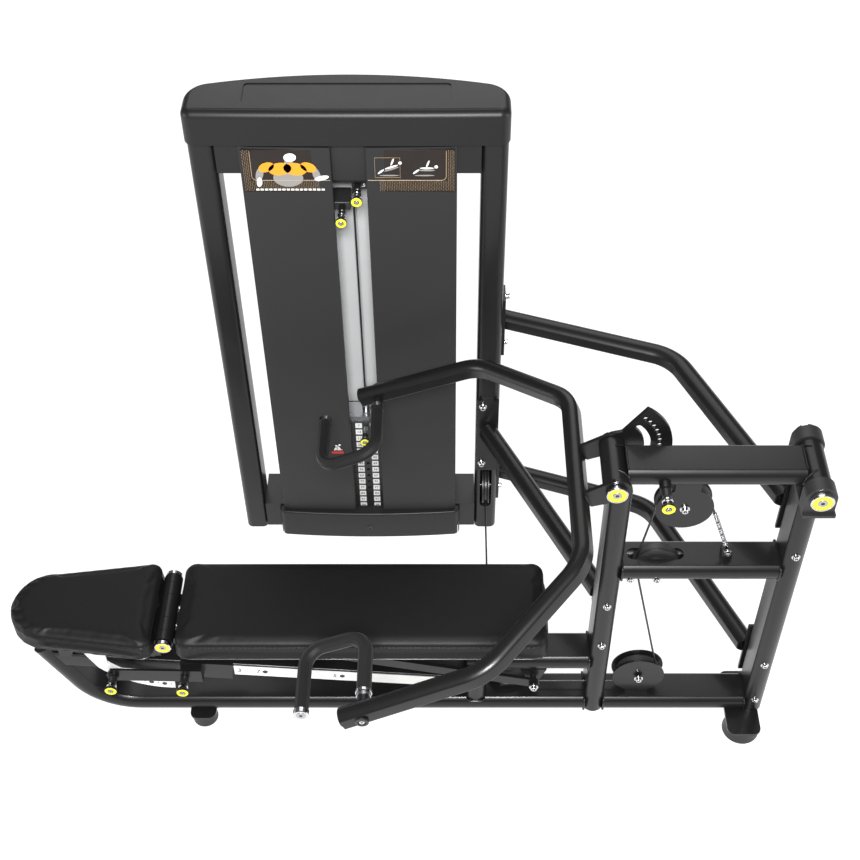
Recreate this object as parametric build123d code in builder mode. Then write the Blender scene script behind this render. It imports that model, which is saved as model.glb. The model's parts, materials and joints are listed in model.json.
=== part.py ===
"""Selectorised lying and incline press station. Millimetres, +Z up, origin on the floor.

X runs along the bench, from the seat (-X) to the pivot of the lever (+X). The bench, the
frame and the lever share one upright plane, y = BENCH_Y. The weight tower stands at +Y.
"""
import math
import os

from build123d import *

# ---- driving dimensions ------------------------------------------------------------
HALF_LENGTH = 990.0        # half of the whole length, along X
BENCH_Y = -135.0           # plane of the bench, the frame and the lever
WALL = 3.0                 # wall of every steel tube
TUBE_W = 100.0             # frame tube, across its flat faces
TUBE_H = 50.0              # frame tube, between its flat faces
CROWN = 14.0               # bulge of the tube's narrow sides
GAP = 0.5                  # clearance between bodies that move on each other
RUN_FIT = 0.05             # radial clearance of a running fit

BASE_Z = 70.0              # centre of the base beam
BEND_X, BEND_R = -711.0, 165.0
RISER_ANGLE = 66.0         # riser, from horizontal
RISER_LENGTH = 172.0
REST_POST_X = 515.0
REAR_POST_X = 948.0
POST_FOOT_Z = BASE_Z - TUBE_H / 2
REST_POST_TOP = 935.0
REAR_POST_TOP = 930.0
MID_BEAM_Z = 645.0
ANCHOR_BEAM_Z = 260.0
STUB_X = 195.0

LEVER_PIVOT = (950.0, 985.0)
ARM_PIVOT = (497.0, 985.0)
LEVER_Z = 992.0
PIVOT_TUBE_R = 30.5
SHAFT_R = 12.5

RAIL_SLOPE = 0.1           # fall of the slide rail towards the posts
RAIL_Z0 = 201.1            # height of the rail's centre line at x = 0
HINGE = (-592.0, 437.0)
HINGE_R = 23.5
HINGE_SHAFT_R = 10.0
CARRIAGE_X = -512.0
CARRIAGE_PIN_X = -565.0
SEAT_ARC_R = 232.0
SEAT_PIN_ANGLE = 227.5
HOLE_STEP = 8.5            # angle between neighbouring holes of both sector plates
PROP_FOOT = (346.0, 200.0)
PROP_HEAD = (-256.0, 352.0)

YOKE_TILT = 24.0
SECTOR_HOLE_R = 110.0
POP_PIN_R = 6.0

TOWER_X = -117.0
TOWER_HALF = 382.0
TOWER_POST_W, TOWER_POST_D = 65.0, 90.0
TOWER_FRONT_Y, TOWER_TOP = 504.0, 1420.0
STACK_Y = 579.0
PLATE_PITCH, PLATE_COUNT, STACK_FOOT_Z = 27.0, 14, 55.0
ROD_R, ROD_SPREAD = 12.5, 115.0
CABLE_R = 2.6
CABLE_Z = 118.0            # height of the cable above the base beam

os.makedirs("parts", exist_ok=True)


# ---- shared shapes -----------------------------------------------------------------
def upright(x=0.0, z=0.0, y=0.0):
    """Plane whose local x is +X and local y is +Z, y off the bench plane; it faces -Y."""
    return Plane(origin=(x, BENCH_Y + y, z), x_dir=(1, 0, 0), z_dir=(0, -1, 0))


def flat_oval(width, height, crown, trim=0.0):
    """Section with two flat faces and two crowned narrow sides, shrunk by trim."""
    half_w, half_h = width / 2 - trim, height / 2 - trim
    flat = half_w - crown * half_h / (height / 2)
    with BuildSketch() as section:
        with BuildLine():
            Line((-flat, half_h), (flat, half_h))
            ThreePointArc((flat, half_h), (half_w, 0), (flat, -half_h))
            Line((flat, -half_h), (-flat, -half_h))
            ThreePointArc((-flat, -half_h), (-half_w, 0), (-flat, half_h))
        make_face()
        fillet(section.vertices(), radius=max(4.0 - trim, 1.0))
    return section.sketch


def inset_ends(points, amount):
    """Pull the first and last of a list of points inwards along the end runs."""
    moved = [Vector(*p) for p in points]
    moved[0] += (moved[1] - moved[0]).normalized() * amount
    moved[-1] += (moved[-2] - moved[-1]).normalized() * amount
    return moved


def tube(points, across, width=TUBE_W, height=TUBE_H, crown=CROWN, radii=()):
    """Closed steel tube along a path; across is the direction of the section's width."""
    with BuildPart() as piece:
        for trim, mode in ((0.0, Mode.ADD), (WALL, Mode.SUBTRACT)):
            route = inset_ends(points, trim)
            with BuildLine() as path:
                if radii:
                    FilletPolyline(*route, radius=list(radii))
                else:
                    Line(route[0], route[-1])
            start = Plane(origin=path.line @ 0, x_dir=across, z_dir=path.line % 0)
            with BuildSketch(start):
                add(flat_oval(width, height, crown, trim))
            sweep(path=path.line, mode=mode)
    return piece.part


def cylinder_y(x, z, radius, y0, y1, bore=0.0):
    """Cylinder across the machine from y0 to y1, both counted from the bench plane."""
    with BuildPart() as piece:
        with BuildSketch(upright(x, z, y1)):
            Circle(radius)
            if bore:
                Circle(bore, mode=Mode.SUBTRACT)
        extrude(amount=y1 - y0)
    return piece.part


def plate_y(points, y0, y1, round_corners=0.0, holes=()):
    """Flat plate across the machine, cut from an outline of (x, z) points."""
    with BuildPart() as piece:
        with BuildSketch(upright(y=y1)) as outline:
            with BuildLine():
                Polyline(*points, close=True)
            make_face()
            if round_corners:
                fillet(outline.vertices(), radius=round_corners)
            for x, z, radius in holes:
                with Locations((x, z)):
                    Circle(radius, mode=Mode.SUBTRACT)
        extrude(amount=y1 - y0)
    return piece.part


def block(low, high, radius=0.0):
    """Block between two corners, its upright edges rounded."""
    size = [b - a for a, b in zip(low, high)]
    with BuildPart() as piece:
        with BuildSketch(Plane((low[0] + size[0] / 2, low[1] + size[1] / 2, low[2]))):
            if radius:
                RectangleRounded(size[0], size[1], radius)
            else:
                Rectangle(size[0], size[1])
        extrude(amount=size[2])
    return piece.part


def grooved_wheel(plane, groove_r, rim_r, thickness, bore_r):
    """Cable pulley about the plane's normal, centred on the plane."""
    half = thickness / 2
    with BuildPart() as piece:
        with BuildSketch(Plane(plane.origin, x_dir=plane.x_dir, z_dir=-plane.y_dir)):
            with BuildLine():
                Polyline((bore_r, -half), (rim_r, -half), (rim_r, -half + 3),
                         (groove_r - CABLE_R, -CABLE_R), (groove_r - CABLE_R, CABLE_R),
                         (rim_r, half - 3), (rim_r, half), (bore_r, half), close=True)
            make_face()
            for side in (-1, 1):
                with Locations((rim_r * 0.62, side * half)):
                    Rectangle(rim_r * 0.36, 5, mode=Mode.SUBTRACT)
        revolve(axis=Axis(plane.origin, plane.z_dir))
    return piece.part


def rail_z(x):
    """Height of the slide rail's centre line."""
    return RAIL_Z0 - RAIL_SLOPE * x


def save(piece, name):
    """Label a finished sub-part and write its STEP file."""
    piece.part.label = name
    export_step(piece.part, f"parts/{name}.step")


def polar(centre, radius, angle):
    """Point at a radius and an angle in degrees from a centre, in the bench plane."""
    turn = math.radians(angle)
    return centre[0] + radius * math.cos(turn), centre[1] + radius * math.sin(turn)


def arc_points(centre, radius, start, end, steps):
    """Points along an arc about a centre, in the bench plane."""
    return [polar(centre, radius, start + (end - start) * i / steps)
            for i in range(steps + 1)]


ACROSS = (0, 1, 0)
FOOT_BAR_Z = 37.0
rest_left, rest_right = REST_POST_X - TUBE_H / 2, REST_POST_X + TUBE_H / 2
rear_left, rear_right = REAR_POST_X - TUBE_H / 2, REAR_POST_X + TUBE_H / 2
base_top = BASE_Z + TUBE_H / 2

# ---- main frame --------------------------------------------------------------------
riser_rise = math.radians(RISER_ANGLE)
bend_tangent = BEND_R * math.tan(riser_rise / 2)
bend_corner = (BEND_X - bend_tangent, BENCH_Y, BASE_Z)
riser_run = bend_tangent + RISER_LENGTH
riser_top = (bend_corner[0] - riser_run * math.cos(riser_rise), BENCH_Y,
             BASE_Z + riser_run * math.sin(riser_rise))

SPLICE_X = BEND_X + 10     # the bent riser piece meets the straight base beam here
with BuildPart() as base_beam:
    add(tube([riser_top, bend_corner, (SPLICE_X, BENCH_Y, BASE_Z)], ACROSS, radii=[BEND_R]))
    add(tube([(SPLICE_X + 0.2, BENCH_Y, BASE_Z), (rest_left, BENCH_Y, BASE_Z)], ACROSS))
    add(tube([(rest_right, BENCH_Y, BASE_Z), (rear_left, BENCH_Y, BASE_Z)], ACROSS))
    add(block((875, BENCH_Y - 122, FOOT_BAR_Z), (965, BENCH_Y + 80, POST_FOOT_Z), 20))
    add(block((-582, BENCH_Y - 72, FOOT_BAR_Z), (-512, BENCH_Y + 72, POST_FOOT_Z), 20))

with BuildPart() as rest_post:
    add(tube([(REST_POST_X, BENCH_Y, POST_FOOT_Z), (REST_POST_X, BENCH_Y, REST_POST_TOP)],
             ACROSS))
    with Locations(Plane(origin=(REST_POST_X, BENCH_Y, CABLE_Z), z_dir=(1, 0, 0))):
        Cylinder(8, TUBE_H + 2, mode=Mode.SUBTRACT)

with BuildPart() as rear_post:
    add(tube([(REAR_POST_X, BENCH_Y, POST_FOOT_Z), (REAR_POST_X, BENCH_Y, REAR_POST_TOP)],
             ACROSS))

TAB_IN, TAB_OUT = 35.0, 43.0   # ears under the anchor beam that carry the props
MID_SLOT = (554.0, 693.0, 36.0)   # from, to and width of the mid beam's pulley slot
with BuildPart() as mid_beam:
    add(tube([(rest_right, BENCH_Y, MID_BEAM_Z), (rear_left, BENCH_Y, MID_BEAM_Z)],
             ACROSS))
    with BuildSketch(Plane.XY.offset(MID_BEAM_Z - TUBE_H)):
        with Locations(((MID_SLOT[0] + MID_SLOT[1]) / 2, BENCH_Y)):
            SlotOverall(MID_SLOT[1] - MID_SLOT[0], MID_SLOT[2])
    extrude(amount=2 * TUBE_H, mode=Mode.SUBTRACT)

with BuildPart() as bench_anchor_beam:
    add(tube([(STUB_X - TUBE_H / 2, BENCH_Y, ANCHOR_BEAM_Z),
              (rest_left, BENCH_Y, ANCHOR_BEAM_Z)], ACROSS))
    add(tube([(STUB_X, BENCH_Y, base_top),
              (STUB_X, BENCH_Y, ANCHOR_BEAM_Z - TUBE_H / 2)], ACROSS))
    for side in (-1, 1):
        low, high = sorted((side * TAB_IN, side * TAB_OUT))
        add(plate_y([(312, 235), (380, 235), (360, 182), (332, 182)], low, high))
    add(cylinder_y(*PROP_FOOT, 8, -74, 74))
    for side in (-1, 1):
        low, high = sorted((side * 68, side * 74))
        add(cylinder_y(*PROP_FOOT, 13, low, high))

# The rail is a plain rectangular tube, butted between the riser and the stub.
rail_right = STUB_X - TUBE_H / 2
riser_face = Vector(riser_top[0], riser_top[2]) + Vector(
    math.sin(riser_rise), math.cos(riser_rise)) * TUBE_H / 2
RAIL_HALF = 25.0
STRIP_HOLES = (0.0, 80.0, 204.5, 406.0)   # from the carriage pin at rest, along the rail


def on_riser(offset):
    """Point of the riser's inner face at an offset above or below the rail's centre."""
    run = (riser_face.Y - RAIL_Z0 - offset + RAIL_SLOPE * riser_face.X) / (
        math.sin(riser_rise) - RAIL_SLOPE * math.cos(riser_rise))
    return (riser_face.X + run * math.cos(riser_rise),
            riser_face.Y - run * math.sin(riser_rise))


with BuildPart() as slide_rail:
    add(plate_y([on_riser(-RAIL_HALF), (rail_right, rail_z(rail_right) - RAIL_HALF),
                 (rail_right, rail_z(rail_right) + RAIL_HALF), on_riser(RAIL_HALF)],
                -50, 50))
    fillet(slide_rail.edges().filter_by(
        lambda e: abs((e @ 1 - e @ 0).normalized().X) > 0.9), radius=5)
    add(plate_y([(on_riser(0)[0] + 20, rail_z(on_riser(0)[0]) + dz) for dz in (-22, 18)]
                + [(rail_right - WALL, rail_z(rail_right) + dz) for dz in (21, -22)],
                -47, 47), mode=Mode.SUBTRACT)

STRIP_X = (-441.0, 160.0)
with BuildPart() as rail_scale:
    add(plate_y([(x, rail_z(x) + dz) for x, dz in
                 ((STRIP_X[0], -19), (STRIP_X[1], -19), (STRIP_X[1], 19), (STRIP_X[0], 19))],
                -51.5, -50, holes=[(CARRIAGE_PIN_X + s, rail_z(CARRIAGE_PIN_X + s), 7)
                                   for s in STRIP_HOLES[2:]]))

HEAD_PLATE_Z = REAR_POST_TOP + 8
BLOCK_IN, BLOCK_OUT, BLOCK_R = 62.0, 98.0, 36.0
with BuildPart() as pillow_blocks:
    add(block((914, BENCH_Y - 106, REAR_POST_TOP), (HALF_LENGTH, BENCH_Y + 106, HEAD_PLATE_Z),
              3))
    for side in (-1, 1):
        low, high = sorted((side * BLOCK_IN, side * BLOCK_OUT))
        add(cylinder_y(*LEVER_PIVOT, BLOCK_R, low, high))
        add(plate_y([(914, HEAD_PLATE_Z), (986, HEAD_PLATE_Z), (986, 985), (914, 985)],
                    low, high))
        add(cylinder_y(*LEVER_PIVOT, SHAFT_R + RUN_FIT, low - 1, high + 1),
            mode=Mode.SUBTRACT)

FOOT_PLACES = ((920.0, 28.0), (920.0, -75.0), (-547.0, 37.0), (-547.0, -37.0))
with BuildPart() as rubber_feet_and_stops:
    for x, y in FOOT_PLACES:
        radius = 50 if x > 0 else 34
        with BuildSketch(Plane((x, BENCH_Y + y, 0))):
            Circle(radius)
        extrude(amount=FOOT_BAR_Z, taper=9)
    # The lever rests on one, the weight stack on a pair round the guide rods.
    add(block((REST_POST_X - 22, BENCH_Y - 34, REST_POST_TOP),
              (REST_POST_X + 22, BENCH_Y + 34, ARM_PIVOT[1] - PIVOT_TUBE_R - GAP), 6))
    for side in (-1, 1):
        with BuildSketch(Plane((TOWER_X + side * ROD_SPREAD, STACK_Y, 40))):
            Circle(28)
            Circle(ROD_R + GAP, mode=Mode.SUBTRACT)
        extrude(amount=STACK_FOOT_Z - 40)

# ---- braces to the tower -----------------------------------------------------------
BRACE_W, BRACE_H = 48.0, 50.0
TOWER_RIGHT = TOWER_X + TOWER_HALF


def brace(points, radii):
    """Horizontal flat-sided brace tube between the tower and a post."""
    return tube(points, (0, 0, 1), BRACE_H, BRACE_W, 12, radii)


def rear_brace(z):
    """Bent brace from the side of the tower to the back of the rear post."""
    return brace([(TOWER_RIGHT - 24, 576, z), (712, 412, z), (936, BENCH_Y + 38, z)], [120])


UPPER_BRACE_Z, LOWER_BRACE_Z, DIAGONAL_Z = 805.0, 200.0, 445.0
with BuildPart() as rear_braces:
    for z in (UPPER_BRACE_Z, LOWER_BRACE_Z):
        add(rear_brace(z))
    # Both ends are sawn flat for their flanges.
    add(block((800, BENCH_Y, 90), (990, BENCH_Y + 58, 900)), mode=Mode.SUBTRACT)
    add(block((200, 500, 90), (TOWER_RIGHT + 8, 640, 900)), mode=Mode.SUBTRACT)

with BuildPart() as diagonal_brace:
    add(brace([(232, 490, DIAGONAL_Z), (REST_POST_X - 8, BENCH_Y + 62, DIAGONAL_Z)], ()))

FLANGE_H = 196.0
with BuildPart() as brace_flanges:
    for z in (UPPER_BRACE_Z, LOWER_BRACE_Z):
        foot = max(z - FLANGE_H / 2, 110)
        add(block((TOWER_RIGHT, 526, foot), (TOWER_RIGHT + 8, 592, foot + FLANGE_H)))
    add(block((202, 496, 270), (263, TOWER_FRONT_Y, 560)))
    for z in (UPPER_BRACE_Z, LOWER_BRACE_Z):
        foot = max(z - FLANGE_H / 2, 102)
        add(block((rear_left - 6, BENCH_Y + 50.2, foot),
                  (rear_right + 6, BENCH_Y + 58, foot + FLANGE_H)))
    add(block((rest_left + 2, BENCH_Y + 50.2, DIAGONAL_Z - 34),
              (rest_right - 2, BENCH_Y + 58, DIAGONAL_Z + 34)))

# Through-bolts of the frame: low domed heads on both crowned sides of the tubes.
POST_BOLTS = ((REST_POST_X, 522), (REST_POST_X, 354), (563, 626), (628, 623))
REAR_BOLT_Z = (720, 885, 266, 101)
with BuildPart() as frame_bolts:
    heads = [(x, z, side * 49.5) for x, z in POST_BOLTS for side in (-1, 1)]
    heads += [(REAR_POST_X, z, -49.5) for z in REAR_BOLT_Z]
    # At the back of the rear post the same bolts come out through the brace flanges.
    for z in (UPPER_BRACE_Z, LOWER_BRACE_Z):
        foot = max(z - FLANGE_H / 2, 102)
        heads += [(REAR_POST_X, foot + dz, 58) for dz in (13, FLANGE_H - 13)]
    for x, z, y in heads:
        face = Plane(origin=(x, BENCH_Y + y, z), z_dir=(0, math.copysign(1, y), 0))
        with BuildSketch(face):
            Circle(9)
        extrude(amount=5, taper=20)
    for z in (UPPER_BRACE_Z, LOWER_BRACE_Z):
        foot = max(z - FLANGE_H / 2, 110)
        for dz in (15, FLANGE_H - 15):
            with BuildSketch(Plane(origin=(TOWER_RIGHT + 8, 565, foot + dz),
                                   z_dir=(1, 0, 0))):
                RegularPolygon(10, 6)
            extrude(amount=8)
    for dz in (32, 267):
        with BuildSketch(Plane(origin=(218, 496, 270 + dz), z_dir=(0, -1, 0))):
            RegularPolygon(10, 6)
        extrude(amount=8)

# ---- weight tower ------------------------------------------------------------------
post_back = TOWER_FRONT_Y + TOWER_POST_D
CABLE_X = 232.5            # the cable's fall inside the right tower post
FOOT_PULLEY = (CABLE_X, STACK_Y - 50, CABLE_Z + 50)


def tower_post(side):
    """Tower post with rounded corners and closed ends, under the top cap."""
    centre_x = TOWER_X + side * (TOWER_HALF - TOWER_POST_W / 2)
    centre_y = TOWER_FRONT_Y + TOWER_POST_D / 2
    with BuildPart() as post:
        for trim, mode in ((0.0, Mode.ADD), (WALL, Mode.SUBTRACT)):
            with BuildSketch(Plane((centre_x, centre_y, trim))):
                RectangleRounded(TOWER_POST_W - 2 * trim, TOWER_POST_D - 2 * trim,
                                 18 - trim)
            extrude(amount=TOWER_TOP - 2 * trim, mode=mode)
    return post.part


with BuildPart() as tower_posts:
    add(tower_post(-1))
    add(tower_post(1))
    with BuildSketch(Plane(origin=(CABLE_X, TOWER_FRONT_Y - 5, 196), x_dir=(1, 0, 0),
                           z_dir=(0, -1, 0))):
        SlotOverall(200, 34, rotation=90)
    extrude(amount=-60, mode=Mode.SUBTRACT)
    with Locations((CABLE_X, STACK_Y, TOWER_TOP)):
        Cylinder(8, 20, mode=Mode.SUBTRACT)

inner_left = TOWER_X - TOWER_HALF + TOWER_POST_W
inner_right = TOWER_X + TOWER_HALF - TOWER_POST_W
BEAM_Y = (503.0, 625.0)


def across_tower(points):
    """Beam between the tower posts, from an outline of (x, z) points."""
    low, high = (y - BENCH_Y for y in BEAM_Y)
    return plate_y(points, low, high)


TOP_BEAM_Z = (1330.0, 1420.0)
with BuildPart() as tower_beams:
    add(across_tower([(inner_left, 10), (inner_right, 10), (inner_right, 110),
                      (TOWER_X + 170, 110), (TOWER_X + 170, 40), (TOWER_X - 170, 40),
                      (TOWER_X - 170, 110), (inner_left, 110)]))
    add(across_tower([(inner_left, TOP_BEAM_Z[0]), (inner_right, TOP_BEAM_Z[0]),
                      (inner_right, TOP_BEAM_Z[1]), (inner_left, TOP_BEAM_Z[1])]))
    with Locations((TOWER_X, STACK_Y, TOP_BEAM_Z[0])):
        Cylinder(12, 400, mode=Mode.SUBTRACT)

CAP_FRONT, CAP_BACK, CAP_TOP = 482.0, 660.0, 1512.0
CAP_BOW, CAP_OVERHANG = 52.0, 3.0
with BuildPart() as tower_top_cap:
    with BuildSketch(Plane.XY.offset(TOWER_TOP + 2)) as cap_plan:
        with BuildLine():
            left = TOWER_X - TOWER_HALF - CAP_OVERHANG
            right = TOWER_X + TOWER_HALF + CAP_OVERHANG
            shoulder = CAP_BACK - CAP_BOW
            ThreePointArc((left, shoulder), (TOWER_X, CAP_BACK), (right, shoulder))
            Line((right, shoulder), (right, CAP_FRONT + 4))
            ThreePointArc((right, CAP_FRONT + 4), (TOWER_X, CAP_FRONT), (left, CAP_FRONT + 4))
            Line((left, CAP_FRONT + 4), (left, shoulder))
        make_face()
        fillet(cap_plan.vertices().group_by(Axis.Y)[-1], radius=66)
        fillet(cap_plan.vertices().group_by(Axis.Y)[0], radius=28)
    extrude(amount=CAP_TOP - TOWER_TOP - 2)
    fillet(tower_top_cap.faces().sort_by(Axis.Z)[-1].edges(), radius=20)
    add(block((left + 28, CAP_FRONT + 12, TOWER_TOP), (right - 28, shoulder - 9, CAP_TOP - 8),
              12), mode=Mode.SUBTRACT)
    # A shallow field on the top, behind the front lip.
    with BuildSketch(Plane.XY.offset(CAP_TOP)):
        with Locations((TOWER_X, 568)):
            RectangleRounded(490, 84, 10)
    extrude(amount=-2.5, mode=Mode.SUBTRACT)

SHROUD_Y = 484.0
SHROUD_Z = (105.3, 1416.0)
SHROUD_OUT, SLOT_HALF = 259.0, 41.5
SHEET = 3.0


def shroud(side):
    """Folded steel panel beside the slot, its two long edges turned back."""
    slot_edge, outer_edge = TOWER_X + side * SLOT_HALF, TOWER_X + side * SHROUD_OUT
    with BuildPart() as panel:
        with BuildSketch(Plane.XY.offset(SHROUD_Z[0])):
            with BuildLine():
                Polyline((slot_edge, SHROUD_Y + 18), (slot_edge, SHROUD_Y + 2),
                         (slot_edge + side * 2, SHROUD_Y),
                         (outer_edge - side * 26, SHROUD_Y + 4),
                         (outer_edge, SHROUD_Y + 9), (outer_edge, SHROUD_Y + 18),
                         (outer_edge - side * SHEET, SHROUD_Y + 18),
                         (outer_edge - side * SHEET, SHROUD_Y + 11),
                         (outer_edge - side * 27, SHROUD_Y + 4 + SHEET),
                         (slot_edge + side * SHEET, SHROUD_Y + SHEET),
                         (slot_edge + side * SHEET, SHROUD_Y + 18), close=True)
            make_face()
        extrude(amount=SHROUD_Z[1] - SHROUD_Z[0])
    return panel.part


with BuildPart() as front_shrouds:
    add(shroud(-1))
    add(shroud(1))

with BuildPart() as rear_panel:
    add(block((TOWER_X - SHROUD_OUT, BEAM_Y[1], 60), (TOWER_X + SHROUD_OUT, BEAM_Y[1] + 3, 1400)))

with BuildPart() as tower_base_cover:
    with BuildSketch(Plane.XY) as cover_plan:
        with BuildLine():
            Line((TOWER_X - 272, 500), (TOWER_X - 272, 476))
            ThreePointArc((TOWER_X - 272, 476), (TOWER_X, 464), (TOWER_X + 272, 476))
            Line((TOWER_X + 272, 476), (TOWER_X + 272, 500))
            Line((TOWER_X + 272, 500), (TOWER_X - 272, 500))
        make_face()
        fillet(cover_plan.vertices().group_by(Axis.Y)[0], radius=20)
    extrude(amount=105)
    fillet(tower_base_cover.faces().sort_by(Axis.Z)[-1].edges().sort_by(Axis.Y)[0], radius=6)
    add(block((TOWER_X - 268, 480, -1), (TOWER_X + 268, 501, 101)), mode=Mode.SUBTRACT)
    add(block((TOWER_X - 268, 480, 60), (TOWER_X + 268, 482, 101)))

with BuildPart() as guide_rods:
    for side in (-1, 1):
        with BuildSketch(Plane((TOWER_X + side * ROD_SPREAD, STACK_Y, 40))):
            Circle(ROD_R)
        extrude(amount=TOP_BEAM_Z[0] - 40)

PLATE_W, PLATE_D = 300.0, 88.0
STEM_R = 11.0
PIN_DROP = 13.0            # selector hole below the top of its plate


def weight_plate(level):
    """One weight plate with its rod holes, stem hole and selector hole."""
    foot = STACK_FOOT_Z + level * PLATE_PITCH
    with BuildPart() as plate:
        with BuildSketch(Plane((TOWER_X, STACK_Y, foot))):
            RectangleRounded(PLATE_W, PLATE_D, 8)
            with Locations((-ROD_SPREAD, 0), (ROD_SPREAD, 0)):
                Circle(ROD_R + 1, mode=Mode.SUBTRACT)
            Circle(STEM_R + 1, mode=Mode.SUBTRACT)
        extrude(amount=PLATE_PITCH - 1)
        hole = Plane(origin=(TOWER_X, STACK_Y - PLATE_D / 2, foot + PIN_DROP),
                     z_dir=(0, -1, 0))
        with BuildSketch(hole):
            Circle(5.5)
        extrude(amount=-PLATE_D / 2 - 20, mode=Mode.SUBTRACT)
    return plate.part


with BuildPart() as weight_plates:
    for level in range(PLATE_COUNT - 1):
        add(weight_plate(level))

top_plate_z = STACK_FOOT_Z + (PLATE_COUNT - 1) * PLATE_PITCH
stack_top = top_plate_z + PLATE_PITCH - 1
with BuildPart() as top_weight_plate:
    add(weight_plate(PLATE_COUNT - 1))

with BuildPart() as selector_stem:
    with BuildSketch(Plane((TOWER_X, STACK_Y, STACK_FOOT_Z + 4))):
        Circle(STEM_R)
    extrude(amount=stack_top - STACK_FOOT_Z + 38)
    with BuildSketch(Plane((TOWER_X, STACK_Y, stack_top))):
        RectangleRounded(110, 60, 6)
    extrude(amount=10)
    with BuildSketch(Plane((TOWER_X, STACK_Y, stack_top + 42))):
        Circle(15)
    extrude(amount=20)
    for level in range(PLATE_COUNT):
        with Locations(Plane(origin=(TOWER_X, STACK_Y,
                                     STACK_FOOT_Z + level * PLATE_PITCH + PIN_DROP),
                             z_dir=(0, 1, 0))):
            Cylinder(5.5, 40, mode=Mode.SUBTRACT)

SELECTOR_Z = top_plate_z + PIN_DROP
with BuildPart() as selector_pin:
    with BuildSketch(Plane(origin=(TOWER_X, STACK_Y + 16, SELECTOR_Z), z_dir=(0, -1, 0))):
        Circle(5.0)
    extrude(amount=106)
    with BuildSketch(Plane(origin=(TOWER_X, STACK_Y - 88, SELECTOR_Z), z_dir=(0, -1, 0))):
        Circle(13)
    extrude(amount=24)

# Guide rod's side, place of the knob across the slot, and height of the weight.
ADD_ON_UPPER, ADD_ON_LOWER = (1, 15.0, 1262.0), (-1, -26.0, 1198.0)


def add_on_weight(rod_side, knob_x, knob_z):
    """Small weight that rides on one guide rod, with its pull knob in the slot."""
    with BuildPart() as weight:
        with BuildSketch(Plane((TOWER_X, STACK_Y, knob_z - 12))):
            with Locations((rod_side * 72, 0)):
                RectangleRounded(132, 64, 8)
            with Locations((rod_side * ROD_SPREAD, 0)):
                Circle(ROD_R + 1, mode=Mode.SUBTRACT)
        extrude(amount=24)
        front = STACK_Y - 32
        with BuildSketch(Plane(origin=(TOWER_X + knob_x, front, knob_z), z_dir=(0, -1, 0))):
            Circle(6)
        extrude(amount=40)
        with BuildSketch(Plane(origin=(TOWER_X + knob_x, front - 40, knob_z),
                               z_dir=(0, -1, 0))):
            Circle(14)
        extrude(amount=30)
    return weight.part


with BuildPart() as add_on_weight_upper:
    add(add_on_weight(*ADD_ON_UPPER))

with BuildPart() as add_on_weight_lower:
    add(add_on_weight(*ADD_ON_LOWER))

# ---- pulleys and cable -------------------------------------------------------------
MOVING_PULLEY, MOVING_R = (670.0, 860.0), 60.0
MID_PULLEY, MID_R = (628.0, 641.0), 50.0
BASE_PULLEY, BASE_R = (630.0, CABLE_Z + 50.0), 50.0
FLOOR_PULLEY = (CABLE_X + 50.0, BENCH_Y + 50.0)
TOP_PULLEY_R, TOP_PULLEY_Z = 34.0, 1460.0
TOP_PULLEYS = (CABLE_X - TOP_PULLEY_R, TOWER_X + TOP_PULLEY_R)
AXLE_R = 6.0


def bench_pulley(centre, groove_r, thickness=24.0):
    """Pulley in the bench plane, turning about Y."""
    return grooved_wheel(upright(*centre), groove_r, groove_r + 6, thickness,
                         AXLE_R + RUN_FIT)


with BuildPart() as moving_pulley:
    add(bench_pulley(MOVING_PULLEY, MOVING_R))

with BuildPart() as mid_pulley:
    add(bench_pulley(MID_PULLEY, MID_R))

with BuildPart() as base_pulley:
    add(bench_pulley(BASE_PULLEY, BASE_R))

with BuildPart() as floor_pulley:
    add(grooved_wheel(Plane((*FLOOR_PULLEY, CABLE_Z)), 50, 56, 20, AXLE_R + RUN_FIT))

with BuildPart() as foot_pulley:
    add(grooved_wheel(Plane(origin=FOOT_PULLEY, x_dir=(0, 1, 0), z_dir=(1, 0, 0)), 50, 56, 20,
                      AXLE_R + RUN_FIT))

with BuildPart() as top_pulley_right:
    add(grooved_wheel(Plane(origin=(TOP_PULLEYS[0], STACK_Y, TOP_PULLEY_Z),
                            z_dir=(0, 1, 0)), TOP_PULLEY_R, 38, 20, AXLE_R + RUN_FIT))

with BuildPart() as top_pulley_left:
    add(grooved_wheel(Plane(origin=(TOP_PULLEYS[1], STACK_Y, TOP_PULLEY_Z),
                            z_dir=(0, 1, 0)), TOP_PULLEY_R, 38, 20, AXLE_R + RUN_FIT))

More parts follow.
